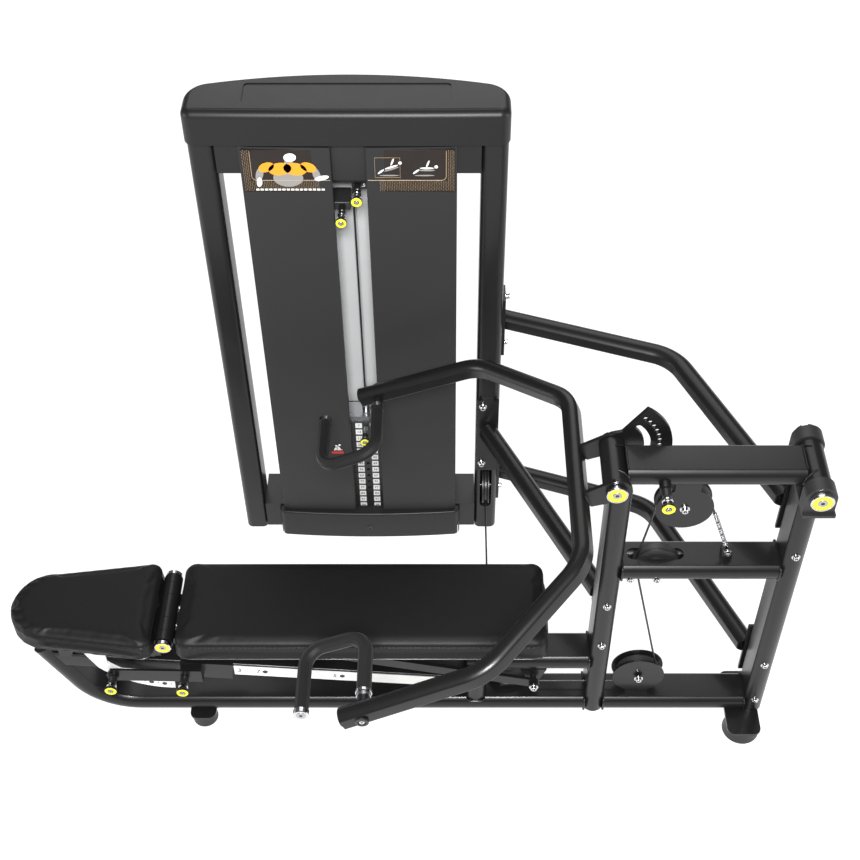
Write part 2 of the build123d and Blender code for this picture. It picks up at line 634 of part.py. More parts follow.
with BuildPart() as pulley_brackets:
    # Mid pulley: its axle crosses the mid beam's slot.
    add(cylinder_y(*MID_PULLEY, AXLE_R, -30, 30))
    # Base pulley: two guard discs on feet, on the rear base beam, and a through-bolt.
    for side in (-1, 1):
        low, high = sorted((side * 15, side * 19))
        add(cylinder_y(*BASE_PULLEY, 69, low, high))
        add(plate_y([(600, base_top), (660, base_top), (660, 130), (600, 130)], low, high))
    add(cylinder_y(*BASE_PULLEY, AXLE_R, -26, 26))
    # Floor pulley: a shoe on the base beam and an upright bolt.
    add(block((FLOOR_PULLEY[0] - 26, BENCH_Y + 2, base_top),
              (FLOOR_PULLEY[0] + 26, BENCH_Y + 78, base_top + 7), 8))
    with BuildSketch(Plane((*FLOOR_PULLEY, base_top))):
        Circle(AXLE_R)
    extrude(amount=44)
    with BuildSketch(Plane((*FLOOR_PULLEY, CABLE_Z + 11))):
        RegularPolygon(11, 6)
    extrude(amount=8)
    # Foot pulley: an axle across the right tower post.
    with BuildSketch(Plane(origin=(FOOT_PULLEY[0] - 29, *FOOT_PULLEY[1:]),
                           z_dir=(1, 0, 0))):
        Circle(AXLE_R)
    extrude(amount=58)
    # Top pulleys: an ear each side of the two wheels, standing on the top beam.
    for side in (-1, 1):
        y = STACK_Y + side * 14
        add(block((TOWER_X + 4, y - 2, TOP_BEAM_Z[1]), (198, y + 2, TOP_PULLEY_Z + 12)))
    for x in TOP_PULLEYS:
        add(cylinder_y(x, TOP_PULLEY_Z, AXLE_R, STACK_Y - BENCH_Y - 20,
                       STACK_Y - BENCH_Y + 20))


def tangent(centre_a, radius_a, side_a, centre_b, radius_b, side_b):
    """Ends of the straight run that touches two circles; side is 1 left, -1 right of a to b."""
    run = Vector(centre_b[0] - centre_a[0], centre_b[1] - centre_a[1])
    lean = math.asin((side_a * radius_a - side_b * radius_b) / run.length)
    heading = math.atan2(run.Y, run.X) + math.pi / 2 - lean
    ends = []
    for centre, radius, side in ((centre_a, radius_a, side_a), (centre_b, radius_b, side_b)):
        ends.append((centre[0] + side * radius * math.cos(heading),
                     centre[1] + side * radius * math.sin(heading)))
    return ends


def cable_piece(*parts):
    """Round cable along edges laid end to end, each a line or an arc."""
    with BuildPart() as piece:
        with BuildLine() as path:
            for part in parts:
                add(part)
        with BuildSketch(Plane(origin=path.line @ 0, z_dir=path.line % 0)):
            Circle(CABLE_R)
        sweep(path=path.line)
    return piece.part


def in_bench(point):
    """Point of the bench plane in space."""
    return Vector(point[0], BENCH_Y, point[1])


def wrap(centre, radius, start, end, through):
    """Arc of cable round a pulley in the bench plane, passing the angle through."""
    return ThreePointArc(in_bench(start), in_bench(polar(centre, radius, through)),
                         in_bench(end), mode=Mode.PRIVATE)


# The cable's two falls under the lever both lean, so each is one straight run.
lift_low, lift_high = tangent(MID_PULLEY, MID_R, 1, MOVING_PULLEY, MOVING_R, 1)
CHAIN_FOOT = (795.0, 690.0)
fall_low, fall_high = tangent(CHAIN_FOOT, 0.001, -1, MOVING_PULLEY, MOVING_R, -1)
CHAIN_LINK, CHAIN_COUNT = 12.0, 10
fall_run = (Vector(*fall_high) - Vector(*CHAIN_FOOT)).normalized() * CHAIN_LINK * CHAIN_COUNT
CHAIN_TOP = (CHAIN_FOOT[0] + fall_run.X, CHAIN_FOOT[1] + fall_run.Y)
cross_low, cross_high = tangent(BASE_PULLEY, BASE_R, -1, MID_PULLEY, MID_R, 1)

with BuildPart() as lever_cable:
    add(cable_piece(wrap(MOVING_PULLEY, MOVING_R, lift_high, fall_high, 90)))

with BuildPart() as lift_cable:
    add(cable_piece(Line(in_bench(lift_low), in_bench(lift_high), mode=Mode.PRIVATE)))

with BuildPart() as anchor_cable:
    add(cable_piece(Line(in_bench(CHAIN_TOP), in_bench(fall_high), mode=Mode.PRIVATE)))

with BuildPart() as anchor_chain:
    for index in range(CHAIN_COUNT + 1):
        at = Vector(*CHAIN_FOOT) + fall_run * (index / CHAIN_COUNT)
        if index % 2:
            add(cylinder_y(at.X, at.Y, 5, -6, 6))
        else:
            add(cylinder_y(at.X, at.Y, 7.8, -3.2, 3.2))
    add(cylinder_y(*CHAIN_FOOT, 9, -9, 9))
    add(plate_y([(783, 670), (807, 670), (803, 692), (787, 692)], -12, 12))

FLOOR_BEND = Vector(CABLE_X, BENCH_Y, CABLE_Z)
with BuildPart() as frame_cable:
    base_bottom = (BASE_PULLEY[0], CABLE_Z)
    floor_in = Vector(FLOOR_PULLEY[0], BENCH_Y, CABLE_Z)
    floor_out = Vector(CABLE_X, FLOOR_PULLEY[1], CABLE_Z)
    floor_mid = Vector(FLOOR_PULLEY[0] - 50 * math.sqrt(0.5),
                       FLOOR_PULLEY[1] - 50 * math.sqrt(0.5), CABLE_Z)
    tower_in = Vector(CABLE_X, FOOT_PULLEY[1], CABLE_Z)
    tower_out = Vector(CABLE_X, STACK_Y, FOOT_PULLEY[2])
    tower_mid = Vector(CABLE_X, FOOT_PULLEY[1] + 50 * math.sqrt(0.5),
                       FOOT_PULLEY[2] - 50 * math.sqrt(0.5))
    rise_end = Vector(CABLE_X, STACK_Y, TOP_PULLEY_Z)
    over_in = Vector(TOP_PULLEYS[0], STACK_Y, TOP_PULLEY_Z + TOP_PULLEY_R)
    over_mid = Vector(TOP_PULLEYS[0] + TOP_PULLEY_R * math.sqrt(0.5), STACK_Y,
                      TOP_PULLEY_Z + TOP_PULLEY_R * math.sqrt(0.5))
    over_out = Vector(TOP_PULLEYS[1], STACK_Y, TOP_PULLEY_Z + TOP_PULLEY_R)
    down_mid = Vector(TOP_PULLEYS[1] - TOP_PULLEY_R * math.sqrt(0.5), STACK_Y,
                      TOP_PULLEY_Z + TOP_PULLEY_R * math.sqrt(0.5))
    down_end = Vector(TOWER_X, STACK_Y, TOP_PULLEY_Z)
    add(cable_piece(
        wrap(MID_PULLEY, MID_R, lift_low, cross_high, 185),
        Line(in_bench(cross_high), in_bench(cross_low), mode=Mode.PRIVATE),
        wrap(BASE_PULLEY, BASE_R, cross_low, base_bottom, -45),
        Line(in_bench(base_bottom), floor_in, mode=Mode.PRIVATE),
        ThreePointArc(floor_in, floor_mid, floor_out, mode=Mode.PRIVATE),
        Line(floor_out, tower_in, mode=Mode.PRIVATE),
        ThreePointArc(tower_in, tower_mid, tower_out, mode=Mode.PRIVATE),
        Line(tower_out, rise_end, mode=Mode.PRIVATE),
        ThreePointArc(rise_end, over_mid, over_in, mode=Mode.PRIVATE),
        Line(over_in, over_out, mode=Mode.PRIVATE),
        ThreePointArc(over_out, down_mid, down_end, mode=Mode.PRIVATE)))

with BuildPart() as stack_cable:
    add(cable_piece(Line(Vector(TOWER_X, STACK_Y, stack_top + 62), down_end,
                         mode=Mode.PRIVATE)))

# ---- lever -------------------------------------------------------------------------
with BuildPart() as lever_beam:
    add(tube([(ARM_PIVOT[0] + 26, BENCH_Y, LEVER_Z), (LEVER_PIVOT[0] - 26, BENCH_Y, LEVER_Z)],
             ACROSS))
    for centre, reach in ((ARM_PIVOT, 65), (LEVER_PIVOT, 60)):
        add(cylinder_y(*centre, PIVOT_TUBE_R, -reach, reach))
        bore = SHAFT_R + RUN_FIT if centre is ARM_PIVOT else SHAFT_R
        add(cylinder_y(*centre, bore, -reach - 1, reach + 1), mode=Mode.SUBTRACT)
    add(cylinder_y(ARM_PIVOT[0] + SECTOR_HOLE_R, ARM_PIVOT[1], POP_PIN_R + 0.4, -60, 60),
        mode=Mode.SUBTRACT)
    add(cylinder_y(ARM_PIVOT[0] + SECTOR_HOLE_R, ARM_PIVOT[1], 14, -70, -48))
    add(cylinder_y(ARM_PIVOT[0] + SECTOR_HOLE_R, ARM_PIVOT[1], POP_PIN_R + 0.4, -71, -47),
        mode=Mode.SUBTRACT)

with BuildPart() as lever_shaft:
    add(cylinder_y(*LEVER_PIVOT, SHAFT_R, -106, 106))
    for side in (-1, 1):
        low, high = sorted((side * (BLOCK_OUT + GAP), side * 112))
        add(cylinder_y(*LEVER_PIVOT, 27, low, high, bore=SHAFT_R))

with BuildPart() as pulley_hanger:
    for side in (-1, 1):
        low, high = sorted((side * 15, side * 19))
        with BuildSketch(upright(y=high)):
            with Locations(MOVING_PULLEY):
                Circle(68)
            with BuildLine():
                Polyline((640, 966.9), (700, 966.9), (700, 900), (640, 900), close=True)
            make_face()
        extrude(amount=high - low)
    add(cylinder_y(*MOVING_PULLEY, AXLE_R, -27, 27))

SECTOR_PIN = (ARM_PIVOT[0] + SECTOR_HOLE_R, ARM_PIVOT[1])
SECTOR_IN, SECTOR_OUT = 67.0, 76.0


def pop_pin(x, z, tip, shoulder, head):
    """Sprung pull pin across the machine: rod, collar and ring head at the near side."""
    with BuildPart() as pin:
        add(cylinder_y(x, z, POP_PIN_R, head, tip))
        add(cylinder_y(x, z, 11, head + 6, shoulder))
        add(cylinder_y(x, z, 16, head, head + 14))
    return pin.part


with BuildPart() as sector_pin:
    add(pop_pin(*SECTOR_PIN, SECTOR_IN - GAP, -71, -128))

# ---- press yoke --------------------------------------------------------------------
tilt = math.radians(YOKE_TILT)


def on_yoke(along, y, lift=0.0):
    """Point of the tilted yoke plane: along it from the arm pivot, y from the bench plane."""
    return (ARM_PIVOT[0] - along * math.cos(tilt) - lift * math.sin(tilt), BENCH_Y + y,
            ARM_PIVOT[1] - along * math.sin(tilt) + lift * math.cos(tilt))


YOKE_NORMAL = (-math.sin(tilt), 0, math.cos(tilt))
with BuildPart() as press_yoke:
    add(tube([on_yoke(664, -490), on_yoke(325, -466), on_yoke(90, -247), on_yoke(90, 247),
              on_yoke(325, 466), on_yoke(664, 490)], YOKE_NORMAL, 50, 40, 11,
             [130, 105, 105, 130]))


def bracket_outline(sector):
    """Yoke bracket from the cross tube to the pivot, with or without the sector."""
    top, foot = on_yoke(69.5, 0, 24), on_yoke(69.5, 0, -24)
    points = [(top[0], top[2])]
    if sector:
        points += [(ARM_PIVOT[0] - 4, ARM_PIVOT[1] + 37), (ARM_PIVOT[0] + 20, ARM_PIVOT[1] + 44)]
        points += arc_points(ARM_PIVOT, 139, 59, -20, 14)
        points += arc_points(ARM_PIVOT, 36, -60, -110, 4)
    else:
        points += arc_points(ARM_PIVOT, 36, 100, -100, 12)
    return points + [(foot[0], foot[2])]


with BuildPart() as yoke_brackets:
    add(plate_y(bracket_outline(False), -SECTOR_OUT, -SECTOR_IN))
    add(plate_y(bracket_outline(True), SECTOR_IN, SECTOR_OUT,
                holes=[(*polar(ARM_PIVOT, SECTOR_HOLE_R, HOLE_STEP * i), POP_PIN_R + 0.5)
                       for i in range(-1, 7)]))
    add(cylinder_y(*ARM_PIVOT, SHAFT_R, -SECTOR_OUT - 1, SECTOR_OUT + 1),
        mode=Mode.SUBTRACT)
    # The arc slot inside the row of holes.
    add(plate_y(arc_points(ARM_PIVOT, 74, -6, 46, 12) + arc_points(ARM_PIVOT, 89, 46, -6, 12),
                SECTOR_IN - 1, SECTOR_OUT + 1), mode=Mode.SUBTRACT)
    for angle in (-6, 46):
        add(cylinder_y(*polar(ARM_PIVOT, 81.5, angle), 7.5, SECTOR_IN - 1, SECTOR_OUT + 1),
            mode=Mode.SUBTRACT)

with BuildPart() as arm_shaft:
    add(cylinder_y(*ARM_PIVOT, SHAFT_R, -82, 82))
    for low, high in ((-89, -SECTOR_OUT), (SECTOR_OUT, 89)):
        add(cylinder_y(*ARM_PIVOT, 27, low, high, bore=SHAFT_R))

BAR_R, GRIP_R = 14.0, 17.0
GRIP_IN, GRIP_OUT = 282.0, 448.0
LEG_S, CROSS_S = 616.0, 770.0


def handle_path(side):
    """Corner points of one handle: out of the arm, forward, and back out."""
    return [on_yoke(LEG_S, side * 461, -4), on_yoke(LEG_S, side * GRIP_IN, -4),
            on_yoke(CROSS_S, side * GRIP_IN, -4), on_yoke(CROSS_S, side * GRIP_OUT, -4)]


def round_bar(points, radius, bend):
    """Round bar along corner points, its corners bent to one radius."""
    with BuildPart() as bar:
        with BuildLine() as path:
            FilletPolyline(*points, radius=bend)
        with BuildSketch(Plane(origin=path.line @ 0, z_dir=path.line % 0)):
            Circle(radius)
        sweep(path=path.line)
    return bar.part


with BuildPart() as handle_bars:
    for side in (-1, 1):
        add(round_bar(handle_path(side), BAR_R, 46))


def sleeve(start, end, radius, bore):
    """Round sleeve between two points on one axis."""
    run = Vector(*end) - Vector(*start)
    with BuildPart() as piece:
        with BuildSketch(Plane(origin=start, z_dir=run)):
            Circle(radius)
            Circle(bore, mode=Mode.SUBTRACT)
        extrude(amount=run.length)
    return piece.part


with BuildPart() as handle_grips:
    for side in (-1, 1):
        add(sleeve(on_yoke(CROSS_S, side * (GRIP_IN + 48), -4),
                   on_yoke(CROSS_S, side * (GRIP_OUT - 2), -4), GRIP_R, BAR_R))
        add(sleeve(on_yoke(LEG_S, side * 432, -4), on_yoke(LEG_S, side * (GRIP_IN + 48), -4),
                   GRIP_R, BAR_R))

with BuildPart() as handle_trim:
    for side in (-1, 1):
        add(sleeve(on_yoke(LEG_S, side * 446, -4), on_yoke(LEG_S, side * 434, -4), 21, BAR_R))
        add(sleeve(on_yoke(CROSS_S, side * GRIP_OUT, -4),
                   on_yoke(CROSS_S, side * (GRIP_OUT + 7), -4), GRIP_R + 1, 3))
        add(sleeve(on_yoke(LEG_S, side * 508, -2), on_yoke(LEG_S, side * 525, -2), 15, 3))

# ---- bench -------------------------------------------------------------------------
slope = math.atan(RAIL_SLOPE)


def along_rail(x, lift):
    """Point (x, z) at a lift square to the rail, over the rail's place x."""
    return x + lift * math.sin(slope), rail_z(x) + lift * math.cos(slope)


def rail_box(x0, x1, low, high, y0, y1):
    """Block square to the rail, between two places along it."""
    return plate_y([along_rail(x0, low), along_rail(x1, low), along_rail(x1, high),
                    along_rail(x0, high)], y0, y1)


SLEEVE_X = (CARRIAGE_X - 68, CARRIAGE_X + 68)
CARRIAGE_PIN = (CARRIAGE_PIN_X, rail_z(CARRIAGE_PIN_X))
SEAT_PIN = polar(HINGE, SEAT_ARC_R, SEAT_PIN_ANGLE)
with BuildPart() as carriage:
    add(rail_box(*SLEEVE_X, -31, 31, -58, 58))
    for side in (-1, 1):
        low, high = sorted((side * 22, side * 32))
        add(plate_y([along_rail(SLEEVE_X[0] + 2, 30), along_rail(SLEEVE_X[1] - 60, 30),
                     (HINGE[0] + 14, HINGE[1] - 30), (HINGE[0] + 10, HINGE[1] - 14),
                     (HINGE[0] - 14, HINGE[1] - 14)], low, high))
    add(cylinder_y(*HINGE, HINGE_R, -35, 35))
    add(cylinder_y(*HINGE, HINGE_SHAFT_R, -36, 36), mode=Mode.SUBTRACT)
    # Bracket for the seat's pull pin, carried off the sleeve's near side.
    add(plate_y([(SLEEVE_X[0] + 6, 235), (SLEEVE_X[0] + 60, 235), (SLEEVE_X[0] + 60, 285),
                 (SLEEVE_X[0] + 6, 285)], -76, -57))
    add(plate_y([(SLEEVE_X[0] + 60, 236), (SLEEVE_X[0] + 60, 284), (SEAT_PIN[0] - 6, 290),
                 (SEAT_PIN[0] - 20, 266), (SEAT_PIN[0] - 6, 244)], -82, -76))
    add(cylinder_y(*SEAT_PIN, 14, -89, -78))
    add(cylinder_y(*SEAT_PIN, POP_PIN_R + 0.4, -90, -70), mode=Mode.SUBTRACT)
    add(cylinder_y(*CARRIAGE_PIN, 14, -83, -57))
    add(cylinder_y(*CARRIAGE_PIN, POP_PIN_R + 0.4, -84, -50), mode=Mode.SUBTRACT)
    add(rail_box(SLEEVE_X[0] - 5, SLEEVE_X[1] + 5, -26, 26, -52, 52), mode=Mode.SUBTRACT)

with BuildPart() as hinge_shaft:
    add(cylinder_y(*HINGE, HINGE_SHAFT_R, -106, 106))
    for side in (-1, 1):
        low, high = sorted((side * 103.5, side * 112))
        add(cylinder_y(*HINGE, 21, low, high, bore=HINGE_SHAFT_R))

with BuildPart() as carriage_pin:
    add(pop_pin(*CARRIAGE_PIN, -52, -84, -131))

with BuildPart() as seat_pin:
    add(pop_pin(*SEAT_PIN, -69.2, -90, -131))

PAD_TOP, PAD_FOOT = 474.0, 415.0
BACK_PAD_X = (-563.0, 370.0)
PAD_HALF = 135.0
with BuildPart() as back_pad:
    with BuildSketch(Plane(((BACK_PAD_X[0] + BACK_PAD_X[1]) / 2, BENCH_Y, PAD_FOOT))):
        RectangleRounded(BACK_PAD_X[1] - BACK_PAD_X[0], 2 * PAD_HALF, 32)
    extrude(amount=PAD_TOP - PAD_FOOT)
    fillet(back_pad.faces().sort_by(Axis.Z)[-1].edges(), radius=14)

SEAT_PAD_X = (-HALF_LENGTH, -618.0)
with BuildPart() as seat_pad:
    with BuildSketch(Plane.XY.offset(PAD_FOOT)) as seat_plan:
        with BuildLine():
            nose = SEAT_PAD_X[0] + 108
            Line((nose, BENCH_Y - 105), (SEAT_PAD_X[1], BENCH_Y - 140))
            Line((SEAT_PAD_X[1], BENCH_Y - 140), (SEAT_PAD_X[1], BENCH_Y + 140))
            Line((SEAT_PAD_X[1], BENCH_Y + 140), (nose, BENCH_Y + 105))
            ThreePointArc((nose, BENCH_Y + 105), (SEAT_PAD_X[0], BENCH_Y),
                          (nose, BENCH_Y - 105))
        make_face()
        fillet(seat_plan.vertices().group_by(Axis.X)[-1], radius=28)
    extrude(amount=PAD_TOP - 4 - PAD_FOOT)
    fillet(seat_pad.faces().sort_by(Axis.Z)[-1].edges(), radius=12)

BAR_Z = (385.0, PAD_FOOT)
BAR_IN, BAR_OUT = 55.0, 64.0   # the prop arms, on either side of the bench plane


def knuckle(y0, y1):
    """Hinge knuckle that turns on the hinge shaft."""
    low, high = sorted((y0, y1))
    return cylinder_y(*HINGE, HINGE_R, low, high, bore=HINGE_SHAFT_R + RUN_FIT)


with BuildPart() as back_frame:
    for side in (-1, 1):
        low, high = sorted((side * 80, side * 108))
        add(block((BACK_PAD_X[0] + 14, BENCH_Y + low, BAR_Z[0]),
                  (BACK_PAD_X[1] - 120, BENCH_Y + high, BAR_Z[1])))
        add(knuckle(side * 36, side * 74))
        low, high = sorted((side * 44, side * 70))
        add(block((HINGE[0] + 15, BENCH_Y + low, BAR_Z[0] + 8), (BACK_PAD_X[0] + 44,
                                                          BENCH_Y + high, 414)))
        low, high = sorted((side * 68, side * 78))
        add(plate_y([(PROP_HEAD[0] - 34, BAR_Z[1]), (PROP_HEAD[0] - 16, 334),
                     (PROP_HEAD[0] + 16, 334), (PROP_HEAD[0] + 34, BAR_Z[1])], low, high))
        low, high = sorted((side * 76, side * 84))
        add(block((PROP_HEAD[0] - 30, BENCH_Y + low, BAR_Z[0]),
                  (PROP_HEAD[0] + 30, BENCH_Y + high, BAR_Z[1])))
        low, high = sorted((side * (BAR_OUT + 2), side * 78))
        add(cylinder_y(*PROP_HEAD, 8, low, high))
    for x in (BACK_PAD_X[0] + 46, BACK_PAD_X[1] - 150):
        add(block((x, BENCH_Y - 108, BAR_Z[0]), (x + 30, BENCH_Y + 108, BAR_Z[1])))
    add(cylinder_y(*HINGE, HINGE_SHAFT_R + RUN_FIT, -75, 75), mode=Mode.SUBTRACT)
    add(cylinder_y(*HINGE, HINGE_R + GAP, -35.6, 35.6), mode=Mode.SUBTRACT)

with BuildPart() as seat_frame:
    for side in (-1, 1):
        low, high = sorted((side * 78, side * 104))
        add(block((SEAT_PAD_X[0] + 130, BENCH_Y + side * 65 - 13, BAR_Z[0]),
                  (HINGE[0] - 26, BENCH_Y + side * 65 + 13, BAR_Z[1])))
        add(knuckle(side * 75, side * 102))
        add(block((HINGE[0] - 50, BENCH_Y + low, BAR_Z[0] + 4),
                  (HINGE[0] - 12, BENCH_Y + high, BAR_Z[1])))
    for x in (SEAT_PAD_X[0] + 130, HINGE[0] - 58):
        add(block((x, BENCH_Y - 104, BAR_Z[0]), (x + 30, BENCH_Y + 104, BAR_Z[1])))
    add(cylinder_y(*HINGE, HINGE_SHAFT_R + RUN_FIT, -103, 103), mode=Mode.SUBTRACT)
    add(cylinder_y(*HINGE, HINGE_R + GAP, -74.6, 74.6), mode=Mode.SUBTRACT)

ARC_START, ARC_END = 218.0, 268.0
with BuildPart() as seat_arc_plate:
    add(plate_y([(-830, BAR_Z[0]), (-760, BAR_Z[0])]
                + arc_points(HINGE, SEAT_ARC_R - 17, ARC_START, ARC_END, 12)
                + arc_points(HINGE, SEAT_ARC_R + 17, ARC_END, ARC_START, 12),
                -68, -62,
                holes=[(*polar(HINGE, SEAT_ARC_R, SEAT_PIN_ANGLE + HOLE_STEP * i),
                        POP_PIN_R + 0.8) for i in range(5)]))

with BuildPart() as prop_arms:
    run = Vector(*PROP_HEAD) - Vector(*PROP_FOOT)
    lean = Vector(-run.Y, run.X).normalized() * 15
    for side in (-1, 1):
        low, high = sorted((side * BAR_IN, side * BAR_OUT))
        foot, head = Vector(*PROP_FOOT), Vector(*PROP_HEAD)
        corners = [foot + lean, foot - lean, head - lean, head + lean]
        add(plate_y([(p.X, p.Y) for p in corners], low, high))
        add(cylinder_y(*PROP_FOOT, 15, low, high))
        add(cylinder_y(*PROP_HEAD, 15, low, high))
        add(cylinder_y(*PROP_FOOT, 8.05, low - 1, high + 1), mode=Mode.SUBTRACT)
        add(cylinder_y(*PROP_HEAD, 9.0, low - 1, high + 1), mode=Mode.SUBTRACT)

PIECES = {
    "base_beams": base_beam, "rest_post": rest_post, "rear_post": rear_post,
    "mid_beam": mid_beam, "bench_anchor_beam": bench_anchor_beam, "slide_rail": slide_rail,
    "rail_scale": rail_scale, "pillow_blocks": pillow_blocks,
    "rubber_feet_and_stops": rubber_feet_and_stops, "frame_bolts": frame_bolts,
    "rear_braces": rear_braces, "diagonal_brace": diagonal_brace, "brace_flanges": brace_flanges,
    "tower_posts": tower_posts, "tower_beams": tower_beams, "tower_top_cap": tower_top_cap,
    "front_shrouds": front_shrouds, "rear_panel": rear_panel,
    "tower_base_cover": tower_base_cover, "guide_rods": guide_rods,
    "weight_plates": weight_plates, "top_weight_plate": top_weight_plate,
    "selector_stem": selector_stem, "selector_pin": selector_pin,
    "add_on_weight_upper": add_on_weight_upper,
    "add_on_weight_lower": add_on_weight_lower, "moving_pulley": moving_pulley,
    "mid_pulley": mid_pulley, "base_pulley": base_pulley, "floor_pulley": floor_pulley,
    "foot_pulley": foot_pulley, "top_pulley_right": top_pulley_right,
    "top_pulley_left": top_pulley_left, "pulley_brackets": pulley_brackets,
    "lever_cable": lever_cable, "lift_cable": lift_cable, "anchor_cable": anchor_cable,
    "anchor_chain": anchor_chain, "frame_cable": frame_cable, "stack_cable": stack_cable,
    "lever_beam": lever_beam, "lever_shaft": lever_shaft, "pulley_hanger": pulley_hanger,
    "sector_pin": sector_pin, "press_yoke": press_yoke, "yoke_brackets": yoke_brackets,
    "arm_shaft": arm_shaft, "handle_bars": handle_bars, "handle_grips": handle_grips,
    "handle_trim": handle_trim, "carriage": carriage, "hinge_shaft": hinge_shaft,
    "carriage_pin": carriage_pin, "seat_pin": seat_pin, "back_pad": back_pad,
    "back_frame": back_frame, "seat_pad": seat_pad, "seat_frame": seat_frame,
    "seat_arc_plate": seat_arc_plate, "prop_arms": prop_arms,
}
for piece_name, piece in PIECES.items():
    save(piece, piece_name)
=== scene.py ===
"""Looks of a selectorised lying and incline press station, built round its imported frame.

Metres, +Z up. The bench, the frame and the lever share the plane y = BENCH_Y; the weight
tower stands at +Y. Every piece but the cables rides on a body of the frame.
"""
from __future__ import annotations

import json
import logging
import math
from dataclasses import dataclass, field

import bmesh
import bpy
from mathutils import Matrix, Vector
from mathutils.bvhtree import BVHTree

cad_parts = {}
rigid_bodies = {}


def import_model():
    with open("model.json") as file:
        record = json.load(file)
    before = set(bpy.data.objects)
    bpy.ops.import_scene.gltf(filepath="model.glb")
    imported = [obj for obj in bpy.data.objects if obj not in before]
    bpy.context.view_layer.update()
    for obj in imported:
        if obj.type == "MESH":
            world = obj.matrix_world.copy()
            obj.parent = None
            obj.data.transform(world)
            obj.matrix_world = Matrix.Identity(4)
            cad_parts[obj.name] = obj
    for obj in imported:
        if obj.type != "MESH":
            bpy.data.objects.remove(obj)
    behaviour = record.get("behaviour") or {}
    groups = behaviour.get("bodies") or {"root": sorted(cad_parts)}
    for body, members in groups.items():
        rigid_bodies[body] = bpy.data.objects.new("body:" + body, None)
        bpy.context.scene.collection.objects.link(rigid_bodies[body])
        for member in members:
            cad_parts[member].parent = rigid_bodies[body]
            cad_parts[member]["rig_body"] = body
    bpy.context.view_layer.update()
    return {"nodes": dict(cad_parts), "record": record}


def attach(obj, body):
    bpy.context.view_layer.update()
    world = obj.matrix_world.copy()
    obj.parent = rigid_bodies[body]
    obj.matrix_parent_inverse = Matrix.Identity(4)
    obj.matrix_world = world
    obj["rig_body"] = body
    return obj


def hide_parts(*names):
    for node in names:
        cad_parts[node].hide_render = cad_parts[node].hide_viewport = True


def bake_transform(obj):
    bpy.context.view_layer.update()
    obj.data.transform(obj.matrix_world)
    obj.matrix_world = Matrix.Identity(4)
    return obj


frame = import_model()

logging.basicConfig(level=logging.INFO, format="%(message)s")
LOG = logging.getLogger("press_station")

MM = 0.001
BENCH_Y = -0.135
LEVER_PIVOT = Vector((0.950, BENCH_Y, 0.985))
ARM_PIVOT = Vector((0.497, BENCH_Y, 0.985))
HINGE = Vector((-0.592, BENCH_Y, 0.437))
MOVING_PULLEY = Vector((0.670, BENCH_Y, 0.860))
MID_PULLEY = Vector((0.628, BENCH_Y, 0.641))
TOWER_X, STACK_Y = -0.117, 0.579
LEVER_Z, PIVOT_TUBE_R = 0.992, 0.0312   # height of the lever beam, its tubes' radius
YOKE_TILT = math.radians(24.0)
RAIL_SLOPE, RAIL_HEIGHT = 0.1, 0.2011   # fall of the rail, its height at x = 0
SEAT_ARC_R, SEAT_FIRST_HOLE, SEAT_HOLE_STEP = 0.232, 227.5, 8.5
NEAR = Vector((0, -1, 0))


# ---- small tools -------------------------------------------------------------------
def linear(hex_colour: str) -> tuple[float, float, float, float]:
    """Turn an sRGB hex colour into the linear colour that a shader takes.

    Args:
        hex_colour: Six hex digits after a hash.

    Returns:
        Red, green, blue and an alpha of 1.
    """
    parts = [int(hex_colour[i:i + 2], 16) / 255 for i in (1, 3, 5)]
    shades = [c / 12.92 if c <= 0.04045 else ((c + 0.055) / 1.055) ** 2.4 for c in parts]
    return shades[0], shades[1], shades[2], 1.0


def add_node(tree: bpy.types.NodeTree, kind: str, inputs: dict | None = None,
             **settings) -> bpy.types.Node:
    """Add a shader node with its settings, values and links.

    Args:
        tree: The material's node tree.
        kind: Blender's name of the node type.
        inputs: Socket name or number to a value, or to the output that feeds it.
        **settings: Properties of the node itself.

    Returns:
        The new node.
    """
    made = tree.nodes.new(kind)
    for name, value in settings.items():
        setattr(made, name, value)
    for key, value in (inputs or {}).items():
        if isinstance(value, bpy.types.NodeSocket):
            tree.links.new(value, made.inputs[key])
        else:
            made.inputs[key].default_value = value
    return made


def noise(tree: bpy.types.NodeTree, place: bpy.types.NodeSocket, scale: float,
          detail: float) -> bpy.types.NodeSocket:
    """Add a noise texture and return its value."""
    return add_node(tree, "ShaderNodeTexNoise", {
        "Vector": place, "Scale": scale, "Detail": detail}).outputs["Fac"]


def rail_point(x: float, reach: float) -> Vector:
    """Return the point of the slide rail's middle line at x, so far out to the near side."""
    return Vector((x, BENCH_Y - reach, RAIL_HEIGHT - RAIL_SLOPE * x))


def seat_arc_point(angle_deg: float) -> Vector:
    """Return the point of the seat's hole circle at an angle round the hinge."""
    angle = math.radians(angle_deg)
    return HINGE + SEAT_ARC_R * Vector((math.cos(angle), 0, math.sin(angle)))


def turn_to(direction: Vector) -> Matrix:
    """Return the rotation that takes +Z to a direction."""
    return direction.to_track_quat("Z", "Y").to_matrix().to_4x4()


